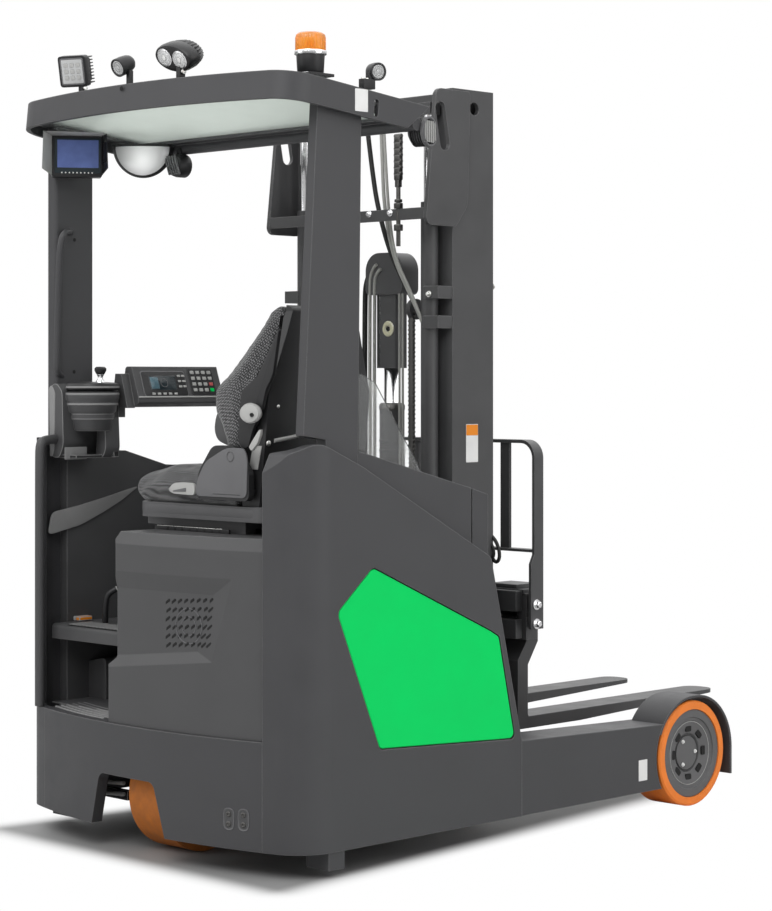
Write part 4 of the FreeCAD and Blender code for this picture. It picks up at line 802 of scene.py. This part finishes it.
for name, facing, y in (("backrestBolts", rightward, -352), ("backrestBoltsLeft", leftward, 352)):
    boltsAt(name, "fork_frame", facing, 17, 20, [(1418, y, 681), (1418, y, 618)], "chrome")
makePiece("hoseLoops", "reach_carriage", hoses(
    ("rubber", 6, (1203, -300, 940), (1205, -336, 922), (1205, -338, 870), (1205, -366, 828), (1205, -388, 846),
     (1205, -378, 892), (1203, -346, 924), (1190, -300, 944)),
    ("rubber", 5, (1198, -300, 926), (1198, -326, 908), (1198, -330, 870), (1198, -352, 838), (1198, -370, 856),
     (1198, -360, 890), (1196, -330, 916), (1190, -300, 930))))
print("mast ready")


# console: display, keys, rings and knob
panel = seatAt((536.5, 419.6, 1413), (0, -0.941, 0.339))
makePiece("consoleFace", "chassis", [
    ("greyPlastic", slab, 186, 89, 12, -1, 1.6, panel, -60.5, -6.5),
    ("blackPlastic", slab, 180, 83, 10, 1.4, 2.2, panel, -60.5, -6.5),
    ("displayDark", slab, 110, 48, 3, 2, 3, panel, -67.5, -4),
    ("displayBlue", slab, 34, 40, 2, 2.8, 3.4, panel, -102, -4),
    ("greyPlastic", ringBand, 13, 15, 2.8, 3.4, panel @ Matrix.Translation((-62, -4, 0))),
    ("blackPlastic", slab, 104, 92, 8, -1, 1.6, panel, 100, 0),
    ("paleGrey", slab, 356, 5, 2, -2, 2, panel, 0, -51)], bevel=0.5)


def keysOn(name, spots, width, height, finish):
    turn = panel.to_3x3().to_4x4()
    growPiece(name, "chassis", "points", finish, [(slab, width, height, 2, 0, 2.6, turn)],
              [panel @ Vector((x, y, 1.6)) for x, y in spots], bevel=0.5)


keysOn("displayKeys", [(-115 + 23 * step, -41) for step in range(5)] +
       [(x, y) for x in (4, 22) for y in (20, 2, -16)], 13, 7, "paleGrey")
keysOn("padKeys", [(64 + 24 * column, 32 - 20 * row) for column in range(4) for row in range(4)][:-2], 15, 11,
       "paleGrey")
keysOn("padRedKey", [(136, -8)], 15, 11, "redPlastic")
keysOn("padGreenKey", [(136, -28)], 15, 11, "greenPaint")
cupSeat = seatAt((235, 482, 0))
cupProfile = [(54, 1258), (58, 1262), (62, 1292), (66, 1296), (66, 1312), (74, 1320), (76, 1336), (79, 1340),
              (80, 1354), (84, 1360), (84, 1378), (70, 1385)]
cheek = [(-598, 1396), (-562, 1412), (-530, 1384), (-524, 1214), (-545, 1172), (-592, 1176)]
cheekHighlight = [(-598, 1396), (-584, 1404), (-566, 1380), (-570, 1200), (-580, 1176), (-592, 1176)]
innerCheek = [(-492, 1302), (-456, 1310), (-450, 1200), (-466, 1172), (-500, 1176)]
makePiece("consoleCup", "chassis", [
    # pale rings on the cup's steps: painted highlights
    ("midGrey", ringBand, 76, 80.4, 1340, 1346, cupSeat), ("midGrey", ringBand, 80, 84.6, 1372, 1378, cupSeat),
    ("cabPlastic", turned, cupProfile, cupSeat, 64),
    ("cabPlastic", plate, rounded(cheek, 16), -300, -150, sideView),
    # lighter strip along the cheek's edge: a painted highlight
    ("midGrey", plate, rounded(cheekHighlight, 10), -152, -148.5, sideView),
    ("cabPlastic", plate, rounded(innerCheek, 14), -320, -262, sideView),
    # near-black back panel: painted shade in the cavity between the legs
    ("seatSteel", block, (300, 456, 1174), (320, 580, 1386)),
    ("seatSteel", block, (160, 470, 1172), (318, 584, 1182)),
    ("midGrey", slab, 88, 40, 4, 0, 3, seatAt((184, 505, 1187), rightward))], bevel=1.6,
    replaced=["steering_console"], slot="cab_plastic")
knobSeat = seatAt((225, 430, 0))
discProfile = [(0, 1386), (70, 1386), (80, 1388), (84.5, 1393), (84.5, 1402), (80, 1409), (66, 1412), (30, 1414),
               (0, 1414)]
knobProfile = [(10, 1436), (14, 1440), (19, 1450), (18.5, 1457), (13, 1461.5), (0, 1462)]
makePiece("steeringDisc", "steering_wheel", [
    ("blackPlastic", turned, discProfile, cupSeat, 64),
    # pale ring round the disc's edge: a painted highlight
    ("midGrey", ringBand, 82, 84.9, 1394, 1400, cupSeat, 64),
    ("chrome", turned, [(16, 1412), (14, 1416), (8, 1424), (8, 1430), (12, 1437)], knobSeat, 32),
    ("blackPlastic", turned, knobProfile, knobSeat, 40)],
    replaced=["steering_wheel"], slot="cab_plastic")


# seat: cushions blown up from slightly smaller shapes, then fittings
def blowUp(name, label, voxel, inset, cap, frames):
    shown = nodes[label]
    data = shown.data.copy()
    data.transform(shown.matrix_world)
    data.materials.clear()
    data.materials.append(look["seatKnit"])
    piece = addObject(name, data)
    assign(piece.modifiers.new("remesh", "REMESH"), voxel_size=voxel)
    assign(piece.modifiers.new("relax", "SMOOTH"), iterations=10)
    assign(piece.modifiers.new("shrink", "DISPLACE"), mid_level=1, strength=inset)
    bpy.context.view_layer.update()
    start = settled(piece)
    piece.modifiers.clear()
    piece.data = start
    cloth = piece.modifiers.new("cloth", "CLOTH").settings
    assign(cloth, use_pressure=True, uniform_pressure_force=4, quality=4)
    cloth.effector_weights.gravity = 0
    for step in range(1, frames + 1):
        scene.frame_set(step)
    swollen = evaluated(piece).data
    moved = []
    for before, after in zip(start.vertices, swollen.vertices):
        shift = after.co - before.co
        moved.append(before.co + shift * min(1, cap / max(shift.length, 1e-6)))
    piece.modifiers.clear()
    for vertex, spot in zip(start.vertices, moved):
        vertex.co = spot
    scene.frame_set(1)
    assign(piece.modifiers.new("even", "SMOOTH"), iterations=8)
    assign(piece.modifiers.new("finer", "SUBSURF"), levels=1, render_levels=1)
    final = settled(piece)
    piece.modifiers.clear()
    piece.data = final
    final.polygons.foreach_set("use_smooth", [True] * len(final.polygons))
    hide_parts(label)
    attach(piece, "chassis")


blowUp("seatCushionPad", "seat_cushion", voxel=0.006, inset=0.002, cap=0.008, frames=16)
blowUp("seatBackPad", "seat_back", voxel=0.006, inset=0.003, cap=0.008, frames=16)
sideSeat = seatAt((118, 0, 0), rearward)
bolster = [(548, 1604), (506, 1568), (463, 1500), (414, 1430), (342, 1389), (334, 1327), (328, 1231), (368, 1216),
           (392, 1278), (427, 1328), (451, 1402), (506, 1451), (560, 1556), (566, 1604)]
bolster = [(min(x, 424 + (z - 1169) * 0.2), z) for x, z in rounded(bolster, 18)]
makePiece("seatBolster", "chassis", [("seatSteel", plate, bolster, -30, -18, sideSeat)], bevel=5)
hipOutline = rounded([(160, 1077), (388, 1077), (391, 1190), (378, 1222), (300, 1222), (206, 1180), (166, 1120)], 22)
leverOutline = rounded([(36, 1090), (60, 1112), (104, 1116), (158, 1114), (158, 1078), (60, 1080)], 14)
curvedLever = [(400, 1226), (420, 1250), (444, 1276), (452, 1278), (450, 1262), (436, 1236), (412, 1214)]
dome = [(0, -2), (9, -2), (9, 1), (6, 4), (0, 5)]
lumbarOutline = [(203, 1307), (212, 1325), (250, 1330), (300, 1250), (270, 1222), (212, 1240), (196, 1272)]
makePiece("seatFittings", "chassis", [
    ("greyPlastic", plate, hipOutline, -2, 3, sideSeat),
    ("cabPlastic", ringBand, 13, 15.5, 2, 4.5, seatAt((118, -318, 1197), rearward)),
    ("blackPlastic", slab, 120, 2, 1, 2.5, 4, sideSeat, 300, 1086),
    ("paleGrey", plate, leverOutline, -4, 4, sideSeat),
    ("greyPlastic", plate, rounded([(60, 1090), (120, 1100), (120, 1088), (60, 1086)], 3), 3, 5, sideSeat),
    ("paleGrey", turned, [(0, -6), (36, -6), (38, 2), (34, 9), (20, 12), (0, 12)],
     seatAt((118, -404, 1324), (-1, -0.2, 0)), 40, 0.78),
    # near-black disc in the knob: painted shade in its hole
    ("darkHollow", disc, 6, 0, 12.6, seatAt((117, -418, 1319), (-1, -0.2, 0)), 20),
    ("paleGrey", plate, rounded(curvedLever, 6), -4, 5, sideSeat),
    ("paleGrey", plate, [(370, 1228), (409, 1229), (391, 1159), (352, 1160)], -1, 1, seatAt((157, 0, 0), rearward)),
    ("paleGrey", tube, [(192, -423, 1243), (284, -425, 1256)], 6),
    ("zinc", turned, dome, seatAt((171, -421, 1236), rightward), 20),
    ("zinc", turned, dome, seatAt((198, -434, 1343), rightward) @ Matrix.Scale(0.6, 4), 20)], bevel=1.4)
makePiece("seatLumbar", "chassis", [
    ("cabPlastic", plate, rounded(lumbarOutline, 18), -420, -156, sideView)], bevel=6)
makePiece("trayEdge", "chassis", [
    ("tray", plate, roundBox(440, 582, 60, 361, -140, 8), 1012, 1049)], bevel=9)
railSeat = seatAt((166, -60, 972), rearward)
makePiece("seatRails", "chassis", [
    ("blackPlastic", slab, 340, 15, 2, 0, 6, railSeat, 30, 0),
    ("zinc", slab, 300, 2, 1, 5.6, 6.6, railSeat, 20, 7)], bevel=0.7)
# near-black discs on the rail: painted shade in its holes
growPiece("railHoles", "chassis", "grid", "darkHollow", [(disc, 4.5, 0, 0.8, sideView, 16)],
          Start=(160, 20, 971), Columns=8, Column_Step=(0, -34, 0))
print("cab ready")


# left wall, hood grille, step, skirt and drive opening
wallSeat = seatAt((0, 585, 0), rightward)
# the moulded sweep is coloured lighter grey than the wall: a painted highlight
sweep = [(134, 926), (260, 952), (356, 991), (430, 1026), (505, 1072), (369, 1040), (260, 1016), (150, 998)]
makePiece("wallSweep", "chassis", [("midGrey", plate, rounded(sweep, 20), -2, 7, wallSeat)], bevel=3)
rollLine = [(74, 546, 392), (74, 546, 1160), (76, 546, 1216), (90, 548, 1230), (150, 566, 1232)]
makePiece("entryRoll", "chassis", [("cabPlastic", bentTube, rollLine, 15, 20)])
# grille slots: near-black plates on the hood, painted shade in the slots
slotItem = [(slab, 26, 7.5, 3.6, -0.6, 0.5, turnTo(rearward, (0, 0.55, 0.85)), 0, 0)]
slots = []
for row in range(6):
    for column in range(8):
        y = -134 - column * 24.5 - (row % 2) * 3
        slots.append(onSurface("seat_hood", (-300, y, 768 + (-y - 134) * 0.07 - row * 25.5))[0])
growPiece("grilleSlots", "chassis", "points", "darkHollow", slotItem, slots)
grilleSpot, grilleFacing = onSurface("seat_hood", (-300, -222, 702))
makePiece("grilleFan", "chassis", [
    ("greyPlastic", ringBand, inner, outer, 0, 0.7, seatAt(grilleSpot, grilleFacing))
    for inner, outer in ((50, 53), (26, 28.5))])
treadLine = ((104, 500), (76, 400), (54, 290), (44, 180))
makePiece("stepTreads", "chassis", [
    ("midGrey", bentTube, [(x + back, y, 391) for x, y in treadLine], 4, 8) for back in range(0, 132, 22)])
lipFront = onSurface("entry_step", (-200, 400, 632))[0].x
# near-black block under the lip's ribs: painted shade between them
makePiece("stepLipGround", "chassis", [("darkHollow", block, (lipFront + 4, 262, 643), (lipFront + 98, 508, 645))])
growPiece("stepLip", "chassis", "grid", "midGrey", [(block, (6, -3.5, 0), (96, 3.5, 5))],
          Start=(lipFront, 262, 643), Columns=15, Column_Step=(0, 17, 0), bevel=1.2)
bulge = rounded([(-650, 372), (-646, 478), (-616, 506), (-498, 531), (-498, 372)], 26)
makePiece("footWell", "chassis", [("cabPlastic", plate, bulge, -600, -300, sideView)], bevel=8)
makePiece("pedal", "chassis", [
    ("paleGrey", block, (238, 578, 646), (296, 632, 660)), ("orangePlastic", block, (240, 556, 646), (292, 577, 660)),
    ("blackPlastic", bentTube, [(262, 452, 644), (258, 448, 700), (262, 440, 745), (286, 420, 756)], 10)], bevel=3)
skirtShapes, skirtBolts = [], []
for y, z in ((-397, 162), (-448, 164)):
    spot, facing = onSurface("chassis_skirt", (-300, y, z))
    place = seatAt(spot, facing)
    outline = roundBox(36, 62, 20)
    rim = [place @ Vector((x, y, 0.4)) for x, y in outline + outline[:1]]
    # grey ring round each recess: a painted highlight on its rim
    skirtShapes += [("mastPaint", plate, outline, -1, 0.4, place), ("greyPlastic", tube, rim, 1.6, 8)]
    skirtBolts += [place @ Vector((0, height, 0.2)) for height in (14, -14)]
makePiece("skirtRecesses", "chassis", skirtShapes)
boltsAt("skirtBolts", "chassis", (-0.9, -0.4, 0), 8, 4, skirtBolts, "chainSteel", True)
makePiece("drivePipes", "chassis", [
    *(("paleGrey", tube, [(150, 218, z), (150, 350, z - 9)], 7) for z in (178, 144)),
    ("blackPlastic", block, (170, 226, 120), (190, 420, 150))], bevel=1)


# load wheels: dished covers with windows and bolts
hubLook = dict(x=1870, z=175, face=646)
hubProfile = [(0, -126), (146, -126), (146, -4), (144, -2), (120, -2), (118, -8), (107, -9.5), (105.5, -13),
              (104, -9.5), (98, -11), (66, -20), (62, -27), (60, -27), (58, -22), (0, -21)]
for side, hand in ((-1, "right"), (1, "left")):
    body, node = "load_wheel_" + hand, "load_hub_" + hand
    centre = (hubLook["x"], side * hubLook["face"], hubLook["z"])
    place = seatAt(centre, (0, side, 0))
    makePiece(node + "Dish", body, [
        ("hubPaint", turned, hubProfile, place, 72),
        ("blackPlastic", ringBand, 56, 58.5, -22.4, -21.2, place),
        # pale ring in the groove: a painted highlight
        ("paleGrey", ringBand, 103.5, 105.5, -12.6, -9.2, place)], replaced=[node], slot="hub_iron", crease=24)
    ringTurn = (-side * math.pi / 2, 0, 0)
    # near-black windows on the dish: painted shade in its openings
    growPiece(node + "Windows", body, "ring", "darkHollow", [(slab, 27, 30, 6, -18, -13.4)], Count=8, Radius=84.0,
              Centre=centre, Turn=ringTurn)
    growPiece(node + "Bolts", body, "ring", "whitePaint", boltShapes((0, 0, 1), 7, 6), Count=3, Radius=44.0,
              Centre=(centre[0], side * (hubLook["face"] - 21), centre[2]), Turn=ringTurn)
print("lower parts ready")
